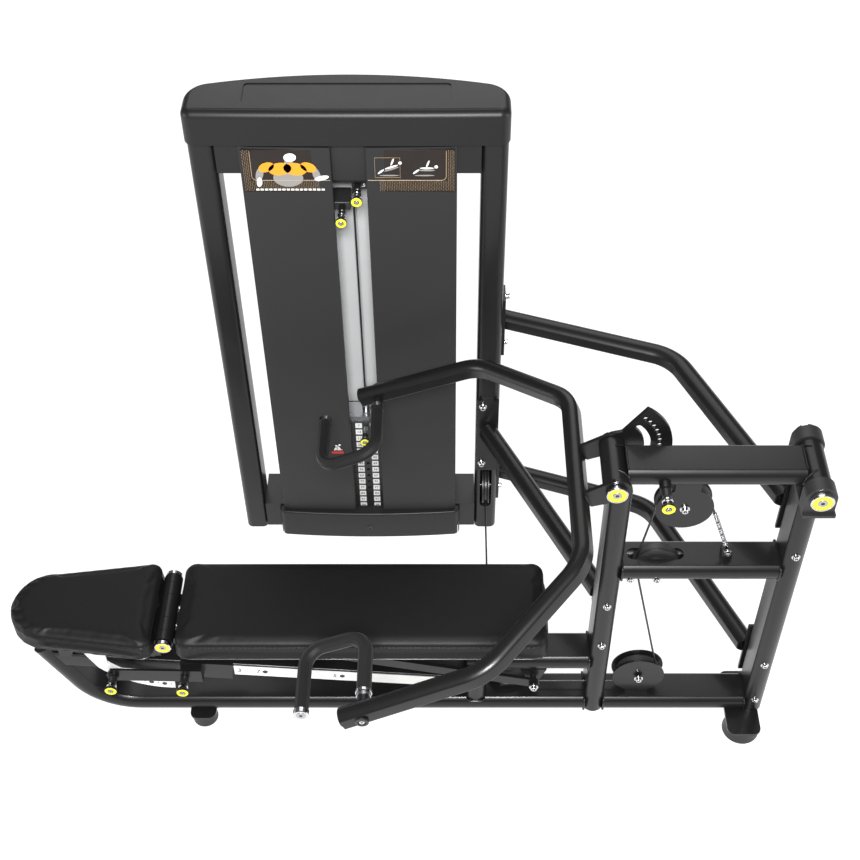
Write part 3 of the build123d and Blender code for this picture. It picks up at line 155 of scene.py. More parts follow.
def make_piece(name: str, mesh: bmesh.types.BMesh, finish: "Finish", body: str,
               replaced: tuple[str, ...] = (), sharp_angle: float = 35.0,
               ) -> bpy.types.Object:
    """Turn a bmesh into a named piece that rides on a body.

    Args:
        name: The piece's name.
        mesh: The finished bmesh, in its place; it is freed.
        finish: What the piece is made of.
        body: The body of the frame that it moves with.
        replaced: CAD nodes that it stands for.
        sharp_angle: Edges sharper than this, in degrees, stay crisp.

    Returns:
        The new object.
    """
    bmesh.ops.remove_doubles(mesh, verts=mesh.verts, dist=1e-6)
    bmesh.ops.recalc_face_normals(mesh, faces=mesh.faces)
    data = bpy.data.meshes.new(name)
    mesh.to_mesh(data)
    mesh.free()
    data.polygons.foreach_set("use_smooth", [True] * len(data.polygons))
    data.set_sharp_from_angle(angle=math.radians(sharp_angle))
    data.materials.append(finish.material())
    piece = bpy.data.objects.new(name, data)
    bpy.context.scene.collection.objects.link(piece)
    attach(piece, body)
    if replaced:
        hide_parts(*replaced)
    LOG.info("piece %s on %s, %d faces", name, body, len(data.polygons))
    return piece


def turned(mesh: bmesh.types.BMesh, profile: list[tuple[float, float]], origin: Vector,
           direction: Vector, steps: int = 40) -> list[bmesh.types.BMVert]:
    """Turn a profile about an axis, as on a lathe.

    Args:
        mesh: The bmesh that takes the shape.
        profile: (radius, distance along the axis) points, in metres.
        origin: Where the axis starts.
        direction: Which way the axis points.
        steps: Segments of the full turn.

    Returns:
        The vertices of the shape.
    """
    before = set(mesh.verts)
    line = [mesh.verts.new((radius, 0, along)) for radius, along in profile]
    edges = [mesh.edges.new(pair) for pair in zip(line, line[1:])]
    bmesh.ops.spin(mesh, geom=line + edges, cent=(0, 0, 0), axis=(0, 0, 1),
                   angle=math.tau, steps=steps, use_merge=True)
    made = [v for v in mesh.verts if v not in before]
    place = Matrix.Translation(origin) @ turn_to(direction)
    bmesh.ops.transform(mesh, matrix=place, verts=made)
    bmesh.ops.remove_doubles(mesh, verts=made, dist=1e-6)
    return [v for v in mesh.verts if v not in before]


def prism(mesh: bmesh.types.BMesh, sides: int, radius: float, height: float,
          origin: Vector, direction: Vector, chamfer: float = 0.0) -> None:
    """Add a closed prism standing on a plane, its far rim chamfered.

    Args:
        mesh: The bmesh that takes the shape.
        sides: Number of sides.
        radius: Radius to the corners.
        height: Height along the direction.
        origin: Centre of its foot.
        direction: Which way it stands.
        chamfer: Width of the chamfer round the far face.
    """
    made = bmesh.ops.create_cone(mesh, cap_ends=True, segments=sides, radius1=radius,
                                 radius2=radius, depth=height)["verts"]
    if chamfer:
        rim = [e for v in made for e in v.link_edges
               if all(w.co.z > height * 0.4 for w in e.verts)]
        grown = bmesh.ops.bevel(mesh, geom=list(set(rim)), offset=chamfer, segments=2,
                                profile=0.5, affect="EDGES", material=-1)["verts"]
        made = list({v for v in made if v.is_valid} | set(grown))
    place = Matrix.Translation(origin) @ turn_to(direction) @ Matrix.Translation(
        (0, 0, height / 2))
    bmesh.ops.transform(mesh, matrix=place, verts=made)


def bar(mesh: bmesh.types.BMesh, low: Vector, high: Vector, edge: float = 0.0) -> None:
    """Add a block between two corners, its edges rounded.

    Args:
        mesh: The bmesh that takes the shape.
        low: Lowest corner.
        high: Highest corner.
        edge: Radius of its edges.
    """
    made = bmesh.ops.create_cube(mesh, size=1.0)["verts"]
    size, middle = Vector(high) - Vector(low), (Vector(high) + Vector(low)) / 2
    bmesh.ops.transform(mesh, matrix=Matrix.Translation(middle) @ Matrix.Diagonal(
        (*size, 1)), verts=made)
    if edge:
        edges = list({e for v in made for e in v.link_edges})
        bmesh.ops.bevel(mesh, geom=edges, offset=edge, segments=3, profile=0.5,
                        affect="EDGES", material=-1)


# ---- finishes ----------------------------------------------------------------------
@dataclass(frozen=True)
class Finish:
    """One real finish: its colour, its gloss and the grain that its making left.

    Args:
        name: The material's name, for what the real one is.
        slot: The record's material slot that it belongs to.
        colour: sRGB hex colour of the surface.
        shade: sRGB hex colour that it drifts towards in broad patches.
        roughness: Mean roughness.
        spread: How far the roughness drifts either way.
        metallic: 1 for bare metal.
        ior: Index of refraction of a non-metal.
        grain_mm: Size of the surface's grain.
        grain_depth_mm: Depth of that grain.
        patch_mm: Size of the broad patches of colour and gloss.
        coat: Weight of a clear coat.
        sheen: Weight of a soft sheen.
    """

    name: str
    slot: str
    colour: str
    shade: str
    roughness: float = 0.4
    spread: float = 0.05
    metallic: float = 0.0
    ior: float = 1.5
    grain_mm: float = 1.0
    grain_depth_mm: float = 0.02
    patch_mm: float = 120.0
    coat: float = 0.0
    sheen: float = 0.0

    def material(self) -> bpy.types.Material:
        """Return this finish's material, building it the first time."""
        known = bpy.data.materials.get(self.name)
        if known:
            return known
        made = bpy.data.materials.new(self.name)
        made.use_nodes = True
        tree = made.node_tree
        tree.nodes.clear()
        place = add_node(tree, "ShaderNodeTexCoord").outputs["Object"]
        shader = add_node(tree, "ShaderNodeBsdfPrincipled", {
            "Base Color": self.paint(tree, place), "Roughness": self.gloss(tree, place),
            "Metallic": self.metallic, "Normal": self.relief(tree, place)})
        if not self.metallic:
            shader.inputs["IOR"].default_value = self.ior
        if self.coat:
            shader.inputs["Coat Weight"].default_value = self.coat
            shader.inputs["Coat Roughness"].default_value = 0.12
        if self.sheen:
            shader.inputs["Sheen Weight"].default_value = self.sheen
            shader.inputs["Sheen Roughness"].default_value = 0.5
        add_node(tree, "ShaderNodeOutputMaterial", {"Surface": shader.outputs["BSDF"]})
        made.diffuse_color = linear(self.colour)
        return made

    def paint(self, tree: bpy.types.NodeTree, place: bpy.types.NodeSocket,
              ) -> bpy.types.NodeSocket:
        """Colour that drifts between the two shades in broad patches."""
        return add_node(tree, "ShaderNodeMix", {
            "Factor": noise(tree, place, 1 / (self.patch_mm * MM), 3.0),
            "A": linear(self.colour), "B": linear(self.shade)},
            data_type="RGBA").outputs["Result"]

    def gloss(self, tree: bpy.types.NodeTree, place: bpy.types.NodeSocket,
              ) -> bpy.types.NodeSocket:
        """Roughness that drifts with handling and with the coating's flow."""
        return add_node(tree, "ShaderNodeMapRange", {
            "Value": noise(tree, place, 3 / (self.patch_mm * MM), 4.0),
            "To Min": self.roughness - self.spread,
            "To Max": self.roughness + self.spread}).outputs["Result"]

    def relief(self, tree: bpy.types.NodeTree, place: bpy.types.NodeSocket,
               ) -> bpy.types.NodeSocket:
        """Fine grain, as a bump."""
        return add_node(tree, "ShaderNodeBump", {
            "Height": noise(tree, place, 1 / (self.grain_mm * MM), 2.0), "Strength": 1.0,
            "Distance": self.grain_depth_mm * MM}).outputs["Normal"]


@dataclass(frozen=True)
class Vinyl(Finish):
    """Upholstery vinyl: cells of embossed leather grain between fine valleys."""

    def relief(self, tree: bpy.types.NodeTree, place: bpy.types.NodeSocket,
               ) -> bpy.types.NodeSocket:
        """Pebbled cells with creases between them."""
        cells = add_node(tree, "ShaderNodeTexVoronoi", {
            "Vector": place, "Scale": 1 / (self.grain_mm * MM)}, feature="F1")
        coarse = add_node(tree, "ShaderNodeBump", {
            "Height": noise(tree, place, 0.12 / (self.grain_mm * MM), 3.0), "Strength": 0.35,
            "Distance": 6 * self.grain_depth_mm * MM})
        return add_node(tree, "ShaderNodeBump", {
            "Height": cells.outputs["Distance"], "Strength": 1.0,
            "Distance": self.grain_depth_mm * MM,
            "Normal": coarse.outputs["Normal"]}, invert=True).outputs["Normal"]


@dataclass(frozen=True)
class Brushed(Finish):
    """Metal ground or turned along one direction, with fine parallel scratches."""

    direction: tuple[float, float, float] = (1.0, 1.0, 0.04)

    def relief(self, tree: bpy.types.NodeTree, place: bpy.types.NodeSocket,
               ) -> bpy.types.NodeSocket:
        """Scratches drawn out along the direction in which the scale is small."""
        drawn = add_node(tree, "ShaderNodeMapping", {
            "Vector": place, "Scale": self.direction}).outputs["Vector"]
        return add_node(tree, "ShaderNodeBump", {
            "Height": noise(tree, drawn, 1 / (self.grain_mm * MM), 2.0), "Strength": 0.6,
            "Distance": self.grain_depth_mm * MM}).outputs["Normal"]


# Satin black polyester powder coat on steel tube: a soft orange peel and broad sheen.
FRAME_PAINT = Finish("satin_black_powder_coat", "frame_paint", "#161617", "#121213",
                     roughness=0.33, spread=0.03, ior=1.38, grain_mm=2.6,
                     grain_depth_mm=0.012, coat=0.1)
TOWER_PAINT = Finish("charcoal_powder_coat", "tower_paint", "#161617", "#121213",
                     roughness=0.35, spread=0.03, ior=1.38, grain_mm=2.6,
                     grain_depth_mm=0.012, coat=0.1)
# Sheet steel panels with a finer, flatter texture than the tubes.
SHROUD_PAINT = Finish("textured_shroud_powder_coat", "shroud_paint", "#29292a", "#252526",
                      roughness=0.5, spread=0.03, ior=1.36, grain_mm=1.4, grain_depth_mm=0.03,
                      patch_mm=300)
PANEL_GREY = Finish("light_grey_powder_coat", "panel_grey", "#c4c5c5", "#bcbdbe",
                    roughness=0.45, grain_mm=2.0, grain_depth_mm=0.01)
CAP_ABS = Finish("moulded_black_abs", "cap_plastic", "#19191a", "#151516",
                 roughness=0.42, spread=0.03, ior=1.38, grain_mm=1.1, grain_depth_mm=0.03)
SCALE_WHITE = Finish("white_enamel_strip", "scale_white", "#e6e6e4", "#dcdcda",
                     roughness=0.35, grain_mm=3.0, grain_depth_mm=0.004)
CASTING = Finish("painted_black_casting", "cast_black", "#262627", "#1e1e1f",
                 roughness=0.5, spread=0.06, grain_mm=2.2, grain_depth_mm=0.09)
RUBBER = Finish("matte_black_rubber", "rubber", "#1b1b1b", "#232323", roughness=0.72,
                spread=0.06, ior=1.52, grain_mm=1.2, grain_depth_mm=0.04, sheen=0.1)
CHROME = Finish("bright_chrome_plate", "bolt_chrome", "#d8d8da", "#cfcfd2",
                roughness=0.14, spread=0.04, metallic=1.0, grain_mm=1.5,
                grain_depth_mm=0.003)
ROD_CHROME = Brushed("ground_chrome_rod", "rod_chrome", "#dcdcde", "#d2d2d5",
                     roughness=0.16, spread=0.03, metallic=1.0, grain_mm=0.9,
                     grain_depth_mm=0.004)
WEIGHT_IRON = Finish("black_painted_plate", "weight_iron", "#29292a", "#202021",
                     roughness=0.45, spread=0.08, grain_mm=2.0, grain_depth_mm=0.05)
NYLON = Finish("turned_black_nylon", "pulley_nylon", "#2a2a2b", "#232324",
               roughness=0.4, spread=0.05, ior=1.53, grain_mm=1.6, grain_depth_mm=0.015)
CABLE = Finish("black_nylon_cable_coat", "cable_black", "#161616", "#1d1d1d",
               roughness=0.38, ior=1.53, grain_mm=1.4, grain_depth_mm=0.05)
ZINC = Brushed("bright_zinc_steel", "zinc", "#b9babd", "#a9aaad", roughness=0.27,
               spread=0.07, metallic=1.0, grain_mm=0.8, grain_depth_mm=0.01)
GRIP = Finish("moulded_grip_rubber", "grip_rubber", "#121212", "#181818",
              roughness=0.6, spread=0.05, ior=1.36, grain_mm=1.0, grain_depth_mm=0.07,
              sheen=0.03)
VINYL = Vinyl("grained_black_vinyl", "pad_vinyl", "#0f0f10", "#0c0c0d", roughness=0.5,
              spread=0.05, ior=1.34, grain_mm=1.7, grain_depth_mm=0.14, patch_mm=260)
# Black moulded plastic of knobs, stems, collars and plugs; it also makes the dark hexagons sunk
# in screw heads, which are painted shade of the hex sockets.
KNOB_AND_SOCKET_SHADE = Finish("moulded_black_knob", "pin_black", "#202021", "#1a1a1b", roughness=0.35,
              ior=1.54, grain_mm=1.1, grain_depth_mm=0.012)
YELLOW = Finish("yellow_anodised_ring", "zinc", "#f0ec30", "#e6e224", roughness=0.42,
                spread=0.04, ior=1.5, grain_mm=1.0, grain_depth_mm=0.006)
PLACARD = Finish("printed_dark_placard", "shroud_paint", "#261e1b", "#1e1816",
                 roughness=0.3, ior=1.35, grain_mm=3.0, grain_depth_mm=0.004, patch_mm=60)
PRINT_TAN = Finish("tan_print", "scale_white", "#a88f6c", "#a08864", roughness=0.35)
PRINT_WHITE = Finish("white_print", "scale_white", "#e9e9e7", "#e1e1df", roughness=0.4)
# Black ink of figures and stitches; it also makes the dark discs on the rail's and the seat
# arc's holes, which are painted shade of the holes.
PRINT_BLACK_AND_HOLE_SHADE = Finish("black_print_and_painted_hole_shade", "pin_black", "#141414", "#191919", roughness=0.45)
PRINT_GREY = Finish("grey_print", "scale_white", "#8f8c88", "#858280", roughness=0.4)
PRINT_ORANGE = Finish("orange_print", "scale_white", "#f0a020", "#e08c18", roughness=0.4)
PRINT_RED = Finish("red_print", "scale_white", "#c4201c", "#b81c19", roughness=0.4)
SLOT_FINISHES = {finish.slot: finish for finish in (
    FRAME_PAINT, TOWER_PAINT, SHROUD_PAINT, PANEL_GREY, CAP_ABS, SCALE_WHITE, CASTING,
    RUBBER, CHROME, ROD_CHROME, WEIGHT_IRON, NYLON, CABLE, ZINC, GRIP, VINYL, KNOB_AND_SOCKET_SHADE)}


def dress_frame() -> None:
    """Give every CAD node the finish of its slot, and smooth its round faces."""
    slots = {row["node"]: row["material_slot"] for row in frame["record"]["subparts"]}
    for name, piece in frame["nodes"].items():
        piece.data.materials.clear()
        piece.data.materials.append(SLOT_FINISHES[slots[name]].material())
        piece.data.polygons.foreach_set("use_smooth", [True] * len(piece.data.polygons))
        weld = piece.modifiers.new("weld", "WELD")
        weld.merge_threshold = 1e-6
        split = piece.modifiers.new("crease", "EDGE_SPLIT")
        split.split_angle = math.radians(30)


# ---- kits: one mesh per finish -----------------------------------------------------
@dataclass
class Kit:
    """Small parts of one sub-assembly on one body, gathered into one mesh per finish.

    Args:
        name: Name that the pieces share.
        body: Body of the frame that they ride on.
        replaced: CAD nodes that the first piece stands for.
    """

    name: str
    body: str
    replaced: tuple[str, ...] = ()
    meshes: dict[Finish, bmesh.types.BMesh] = field(default_factory=dict)

    def of(self, finish: Finish) -> bmesh.types.BMesh:
        """Return the mesh that gathers the parts of one finish."""
        if finish not in self.meshes:
            self.meshes[finish] = bmesh.new()
        return self.meshes[finish]

    def close(self) -> list[bpy.types.Object]:
        """Turn every mesh into a piece."""
        replaced, pieces = self.replaced, []
        for finish, mesh in self.meshes.items():
            pieces.append(make_piece(f"{self.name}_{finish.name}", mesh, finish, self.body,
                                     replaced))
            replaced = ()
        return pieces

    def strand(self, finish: Finish, points: list[Vector], radius: float,
               ripple: float = 0.0, closed: bool = False) -> None:
        """Add a round strand along points; a ripple swells every other point.

        Args:
            finish: What the strand is made of.
            points: Points of its centre line.
            radius: Its radius.
            ripple: How much more radius every other point has.
            closed: Whether its ends join.
        """
        curve = bpy.data.curves.new("strand", "CURVE")
        curve.dimensions, curve.bevel_depth, curve.bevel_resolution = "3D", 1.0, 3
        curve.use_fill_caps = True
        line = curve.splines.new("POLY")
        line.points.add(len(points) - 1)
        for index, (knot, at) in enumerate(zip(line.points, points)):
            knot.co = (*at, 1)
            knot.radius = radius + (ripple if index % 2 else 0.0)
        line.use_cyclic_u = closed
        self.take(curve, finish, Matrix.Identity(4))

    def print_text(self, finish: Finish, text: str, size: float, at: Vector,
                   turn: Matrix) -> None:
        """Add thin raised figures at a place.

        Args:
            finish: The ink.
            text: Figures to print.
            size: Their height.
            at: Their centre.
            turn: Rotation from facing +Z to where they face.
        """
        curve = bpy.data.curves.new("print", "FONT")
        curve.body, curve.size, curve.extrude = text, size, 0.0002
        curve.align_x, curve.align_y = "CENTER", "CENTER"
        curve.resolution_u = 2
        self.take(curve, finish, Matrix.Translation(at) @ turn)

    def take(self, curve: bpy.types.Curve, finish: Finish, place: Matrix) -> None:
        """Turn a curve into mesh, in its place, and drop the curve."""
        holder = bpy.data.objects.new("holder", curve)
        bpy.context.scene.collection.objects.link(holder)
        data = bpy.data.meshes.new_from_object(
            holder.evaluated_get(bpy.context.evaluated_depsgraph_get()))
        data.transform(place)
        self.of(finish).from_mesh(data)
        bpy.data.objects.remove(holder)
        bpy.data.curves.remove(curve)
        bpy.data.meshes.remove(data)


FACE_NEAR = Matrix.Rotation(math.radians(90), 4, "X")   # flat print turned to face -Y


def disc(mesh: bmesh.types.BMesh, radius: float, height: float, at: Vector,
         direction: Vector, chamfer: float = 0.0005, bore: float = 0.0) -> None:
    """Turn a flat disc or ring that stands on a plane, its far rim chamfered."""
    profile = [(bore, 0), (radius, 0), (radius, height - chamfer),
               (radius - chamfer, height), (bore, height)]
    if bore:
        profile.append((bore, 0))
    turned(mesh, profile, at, direction)


def rounded_route(corners: list[Vector], radius: float, steps: int = 8) -> list[Vector]:
    """Return a line of points along corners, its bends rounded.

    Args:
        corners: Corner points of the line.
        radius: Radius of its bends.
        steps: Points per bend.
    """
    route = [corners[0].copy()]
    for before, corner, after in zip(corners, corners[1:], corners[2:]):
        inward, outward = (corner - before).normalized(), (after - corner).normalized()
        turn = inward.angle(outward)
        reach = radius * math.tan(turn / 2)
        first, last = corner - inward * reach, corner + outward * reach
        centre = first + (outward - inward * inward.dot(outward)).normalized() * radius
        axis = inward.cross(outward).normalized()
        route += [centre + Matrix.Rotation(turn * i / steps, 3, axis) @ (first - centre)
                  for i in range(steps)] + [last]
    return route + [corners[-1].copy()]


# ---- fittings ----------------------------------------------------------------------
@dataclass
class RingCap:
    """End cap of a pivot: bright rim, yellow ring, bright hub and a hex-socket screw."""

    radius: float
    depth: float = 0.008

    def build(self, kit: Kit, at: Vector, outward: Vector) -> None:
        """Add the cap to a kit, its back face at a point."""
        r, top = self.radius, self.depth
        turned(kit.of(CHROME), [(0, 0), (r, 0), (r, top - 0.0012), (r - 0.0012, top),
                                (r * 0.86, top), (r * 0.84, top - 0.0012),
                                (0, top - 0.0012)], at, outward)
        disc(kit.of(YELLOW), r * 0.83, 0.0009, at + outward * (top - 0.0012), outward,
             bore=r * 0.44)
        disc(kit.of(ZINC), r * 0.40, 0.0014, at + outward * (top - 0.0012), outward,
             bore=r * 0.17)
        # Dark hexagon in the hub's bore: painted shade of the screw's hex socket.
        prism(kit.of(KNOB_AND_SOCKET_SHADE), 6, r * 0.17, 0.0006, at + outward * (top - 0.0012), outward)


@dataclass
class SocketScrew:
    """Domed socket screw on a washer, with a dark hexagon sunk in its head as painted shade of
    the socket.
    """

    radius: float = 0.0075
    washer: float = 0.0105
    height: float = 0.006
    metal: Finish = CHROME

    def build(self, kit: Kit, at: Vector, outward: Vector) -> None:
        """Add the screw to a kit, its washer's back face at a point."""
        disc(kit.of(self.metal), self.washer, 0.002, at, outward)
        top = 0.002 + self.height
        r = self.radius
        turned(kit.of(self.metal), [(0, 0.002), (r, 0.002), (r, top - 0.002), (r * 0.82, top),
                                (r * 0.5, top), (r * 0.5, top - 0.003),
                                (0, top - 0.003)], at, outward)
        # Dark hexagon: painted shade of the hex socket.
        prism(kit.of(KNOB_AND_SOCKET_SHADE), 6, r * 0.52, 0.0004, at + outward * (top - 0.003), outward)


@dataclass
class PopPin:
    """Sprung pull pin: black stem, bright collar and a yellow-ringed face."""

    stem_radius: float = 0.011
    face_radius: float = 0.016

    def build(self, kit: Kit, shoulder: Vector, outward: Vector, length: float,
              rod: float = 0.0) -> None:
        """Add the pin to a kit.

        Args:
            shoulder: Where its stem leaves the frame.
            outward: Which way it is pulled.
            length: From the shoulder to its face.
            rod: How far its rod reaches behind the shoulder.
        """
        r, face = self.stem_radius, self.face_radius
        if rod:
            disc(kit.of(ZINC), 0.006, rod, shoulder, -outward, 0.001)
        turned(kit.of(KNOB_AND_SOCKET_SHADE), [(0, 0), (r, 0), (r, length * 0.38), (r * 0.8, length * 0.40),
                              (r * 0.8, length - 0.012), (face * 0.8, length - 0.010),
                              (face, length - 0.006), (face, length - 0.001),
                              (face - 0.001, length), (0, length)], shoulder, outward)
        collar = length * 0.52
        turned(kit.of(CHROME), [(r * 0.7, collar), (r * 1.02, collar), (r * 1.14, collar + .001),
                                (r * 1.14, collar + 0.005), (r * 0.95, collar + 0.0062),
                                (r * 0.95, collar + 0.0078), (r * 1.1, collar + 0.009),
                                (r * 1.1, collar + 0.012), (r * 0.7, collar + 0.012)],
               shoulder, outward)
        front = shoulder + outward * length
        disc(kit.of(YELLOW), face * 0.93, 0.001, front, outward, bore=face * 0.5)
        disc(kit.of(ZINC), face * 0.34, 0.0016, front, outward, bore=face * 0.14)
        # Dark hexagon: painted shade of the face screw's hex socket.
        prism(kit.of(KNOB_AND_SOCKET_SHADE), 6, face * 0.15, 0.0005, front, outward)


@dataclass
class Pivots:
    """Shafts with their ring caps: lever, press arm and bench hinge."""

    def build(self) -> None:
        """Build the three shafts, each with a cap at both ends."""
        rows = (("lever_pivot", "lever", "lever_shaft", LEVER_PIVOT, 0.0125, 0.0985, 0.027),
                ("arm_pivot", "yoke", "arm_shaft", ARM_PIVOT, 0.0125, 0.076, 0.025),
                ("bench_hinge", "carriage", "hinge_shaft", HINGE, 0.010, 0.1035, 0.021))
        for name, body, node, centre, shaft, seat, cap in rows:
            kit = Kit(name, body, (node,))
            disc(kit.of(ZINC), shaft, 2 * seat, centre + NEAR * seat, -NEAR)
            for outward in (NEAR, -NEAR):
                disc(kit.of(KNOB_AND_SOCKET_SHADE), cap * 0.9, 0.003, centre + outward * seat, outward)
                RingCap(cap, 0.010).build(kit, centre + outward * (seat + 0.002), outward)
            kit.close()


@dataclass
class PullPins:
    """The three pop pins of the machine: press angle, carriage and seat."""

    def build(self) -> None:
        """Build every pin on its own body."""
        arm = ARM_PIVOT + Vector((0.110, 0, 0))
        rows = (("sector_pin", arm, 0.071, 0.057, 0.137),
                ("carriage_pin", rail_point(-0.565, 0), 0.084, 0.047, 0.032),
                ("seat_pin", seat_arc_point(SEAT_FIRST_HOLE), 0.090, 0.041, 0.0208))
        for name, centre, shoulder, length, rod in rows:
            kit = Kit(name, name, (name,))
            PopPin().build(kit, centre + NEAR * shoulder, NEAR, length - 0.001, rod)
            kit.close()


@dataclass
class FrameScrews:
    """Socket screws of the frame's joints, with washers."""

    across: tuple[tuple[float, float, float], ...] = (
        (515, 522, 50), (515, 354, 50), (563, 626, 44), (628, 623, 43))
    rear: tuple[int, ...] = (720, 885, 266, 101)

    def build(self) -> None:
        """Build the screws of the posts, the flanges and the pulleys."""
        kit = Kit("frame_screws", "root", ("frame_bolts",))
        for x, z, reach in self.across:
            for outward in (NEAR, -NEAR):
                SocketScrew().build(kit, Vector((x * MM, BENCH_Y, z * MM))
                                    + outward * (reach * MM - 0.0005), outward)
        for z in self.rear:
            SocketScrew().build(kit, Vector((0.948, BENCH_Y - 0.0495, z * MM)), NEAR)
        side = Vector((1, 0, 0))
        for z in (722, 888, 125, 291):
            SocketScrew(0.008, 0.011, 0.009).build(kit, Vector((0.273, 0.565, z * MM)), side)
        for z in (302, 537):
            SocketScrew(0.008, 0.011, 0.009).build(kit, Vector((0.218, 0.496, z * MM)), NEAR)
        for x, z in ((948, 720), (948, 890), (948, 115), (948, 285), (515, 417), (515, 473)):
            SocketScrew().build(kit, Vector((x * MM, BENCH_Y + 0.058, z * MM)), -NEAR)
        for x, z, reach in ((630, 168, 26), (628, 641, 30), (346, 200, 74)):
            for outward in (NEAR, -NEAR):
                SocketScrew(0.0085, 0.012, 0.007).build(
                    kit, Vector((x * MM, BENCH_Y, z * MM)) + outward * reach * MM, outward)
        SocketScrew(0.006, 0.008, 0.002, KNOB_AND_SOCKET_SHADE).build(kit, Vector((-0.117, 0.4645, 0.044)),
                                                     NEAR)
        kit.close()
        hanger = Kit("hanger_screws", "lever")
        for outward in (NEAR, -NEAR):
            SocketScrew(0.0085, 0.012, 0.008).build(
                hanger, MOVING_PULLEY + outward * 0.019, outward)
        hanger.close()


# ---- drive -------------------------------------------------------------------------
@dataclass
class DriveChain:
    """Short leaf chain between the cable's end and its clevis on the middle beam."""

    foot: Vector = field(default_factory=lambda: Vector((0.795, BENCH_Y, 0.690)))
    groove: float = 0.060
    pitch: float = 0.012
    links: int = 10

    def run(self) -> tuple[Vector, float]:
        """Return the direction of the fall and its length, from the foot to the pulley."""
        reach = MOVING_PULLEY - self.foot
        heading = math.atan2(reach.z, reach.x) - math.asin(self.groove / reach.length)
        return (Vector((math.cos(heading), 0, math.sin(heading))),
                math.sqrt(reach.length_squared - self.groove ** 2))

    def build(self) -> None:
        """Build links, pins, clevis and both cable ends."""
        kit = Kit("anchor_chain", "root", ("anchor_chain",))
        along, length = self.run()
        for index in range(self.links + 1):
            at = self.foot + along * self.pitch * index
            disc(kit.of(CHROME), 0.0022, 0.015, at + NEAR * 0.0075, -NEAR)
            if index == self.links:
                continue
            offsets = (-0.0062, 0.0044) if index % 2 else (-0.0040, 0.0022)
            for offset in offsets:
                self.add_plate(kit.of(ZINC), at + Vector((0, offset, 0)), along)
        bar(kit.of(CASTING), self.foot + Vector((-.013, -.012, -.020)),
            self.foot + Vector((0.013, 0.012, 0.004)), 0.002)
        SocketScrew(0.007, 0.0095, 0.006).build(kit, self.foot + NEAR * 0.012, NEAR)
        top = self.foot + along * self.pitch * self.links
        disc(kit.of(ZINC), 0.0048, 0.024, top - along * 0.002, along, 0.001)
        kit.close()
        Cable("anchor_cable", "lever", top, self.foot + along * length).build()

    def add_plate(self, mesh: bmesh.types.BMesh, at: Vector, along: Vector) -> None:
        """Add one waisted link plate between two neighbouring pins."""
        thick = Vector((0, 0.0018, 0))
        across = along.cross(thick.normalized()) * 0.0034
        for end in (at, at + along * self.pitch):
            disc(mesh, 0.0052, thick.y, end, thick.normalized(), 0.0003)
        made = bmesh.ops.create_cube(mesh, size=1.0)["verts"]
        turn = Matrix((along * self.pitch, thick, across * 2)).transposed().to_4x4()
        middle = at + along * self.pitch / 2 + thick / 2
        bmesh.ops.transform(mesh, matrix=Matrix.Translation(middle) @ turn, verts=made)


@dataclass
class Cable:
    """Straight run of coated cable between the frame and a moving body.

    Args:
        node: CAD node that it stands for.
        body: Not used.
        start: End that stays with the frame.
        end: Its other end.
    """

    node: str
    body: str
    start: Vector
    end: Vector
    radius: float = 0.0026

    def build(self) -> None:
        """Build the run in short lengths, fixed in place."""
        kit = Kit(self.node, "root", (self.node,))
        count = max(int((self.end - self.start).length / 0.02), 4)
        kit.strand(CABLE, [self.start.lerp(self.end, i / count) for i in range(count + 1)],
                   self.radius)
        for piece in kit.close():
            piece.parent = None
            del piece["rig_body"]
            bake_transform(piece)


@dataclass
class Stack:
    """Numbered labels of the weight plates, the selector pin and the add-on weights."""

    centre: Vector = field(default_factory=lambda: Vector((TOWER_X, STACK_Y, 0)))
    foot: float = 0.055
    pitch: float = 0.027
    count: int = 14

    def build(self) -> None:
        """Build the labels, the pin and both add-on weights."""
        fixed, lifted = Kit("plate_labels", "root"), Kit("top_plate_label", "stack")
        for level in range(self.count):
            kit = lifted if level == self.count - 1 else fixed
            self.add_labels(kit, level)
        fixed.close()
        lifted.close()
        pin = Kit("selector_pin", "selector_pin", ("selector_pin",))
        height = self.foot + (self.count - 1) * self.pitch + 0.013
        disc(pin.of(ZINC), 0.005, 0.110, Vector((TOWER_X, 0.595, height)), NEAR, 0.001)
        PopPin(0.009, 0.0135).build(pin, Vector((TOWER_X, 0.497, height)), NEAR, 0.029)
        pin.close()
        self.add_on("upper", 1, 15, 1.262)
        self.add_on("lower", -1, -26, 1.198)

    def add_labels(self, kit: Kit, level: int) -> None:
        """Add the two number plates of one weight plate."""
        height = self.foot + level * self.pitch + 0.0135
        front = self.centre.y - 0.044
        for side in (-1, 1):
            at = Vector((self.centre.x + side * 0.021, front, height))
            bar(kit.of(PRINT_WHITE), at + Vector((-.0095, -.0008, -.0098)),
                at + Vector((0.0095, 0, 0.0098)))
            kit.print_text(PRINT_BLACK_AND_HOLE_SHADE, str((self.count - level) * 7), 0.012,
                           at + NEAR * 0.0009, FACE_NEAR)

    def add_on(self, name: str, side: int, knob_mm: float, height: float) -> None:
        """Build one add-on weight on its guide rod, with its pull knob."""
        kit = Kit(f"add_on_{name}", f"{name}_add_on", (f"add_on_weight_{name}",))
        middle = self.centre + Vector((side * 0.072, 0, height))
        bar(kit.of(WEIGHT_IRON), middle - Vector((0.066, 0.032, 0.012)),
            middle + Vector((0.066, 0.032, 0.012)), 0.003)
        for end in (-1, 1):
            disc(kit.of(NYLON), 0.019, 0.0012, self.centre + Vector(
                (side * 0.115, 0, height + end * 0.012)), Vector((0, 0, end)))
        stem = Vector((self.centre.x + knob_mm * MM, self.centre.y - 0.032, height))
        PopPin(0.009, 0.014).build(kit, stem, NEAR, 0.069)
        kit.print_text(PRINT_WHITE, "2.5" if side > 0 else "5",
                       0.013, middle + Vector((-side * 0.046, -0.0323, 0)), FACE_NEAR)
        kit.close()


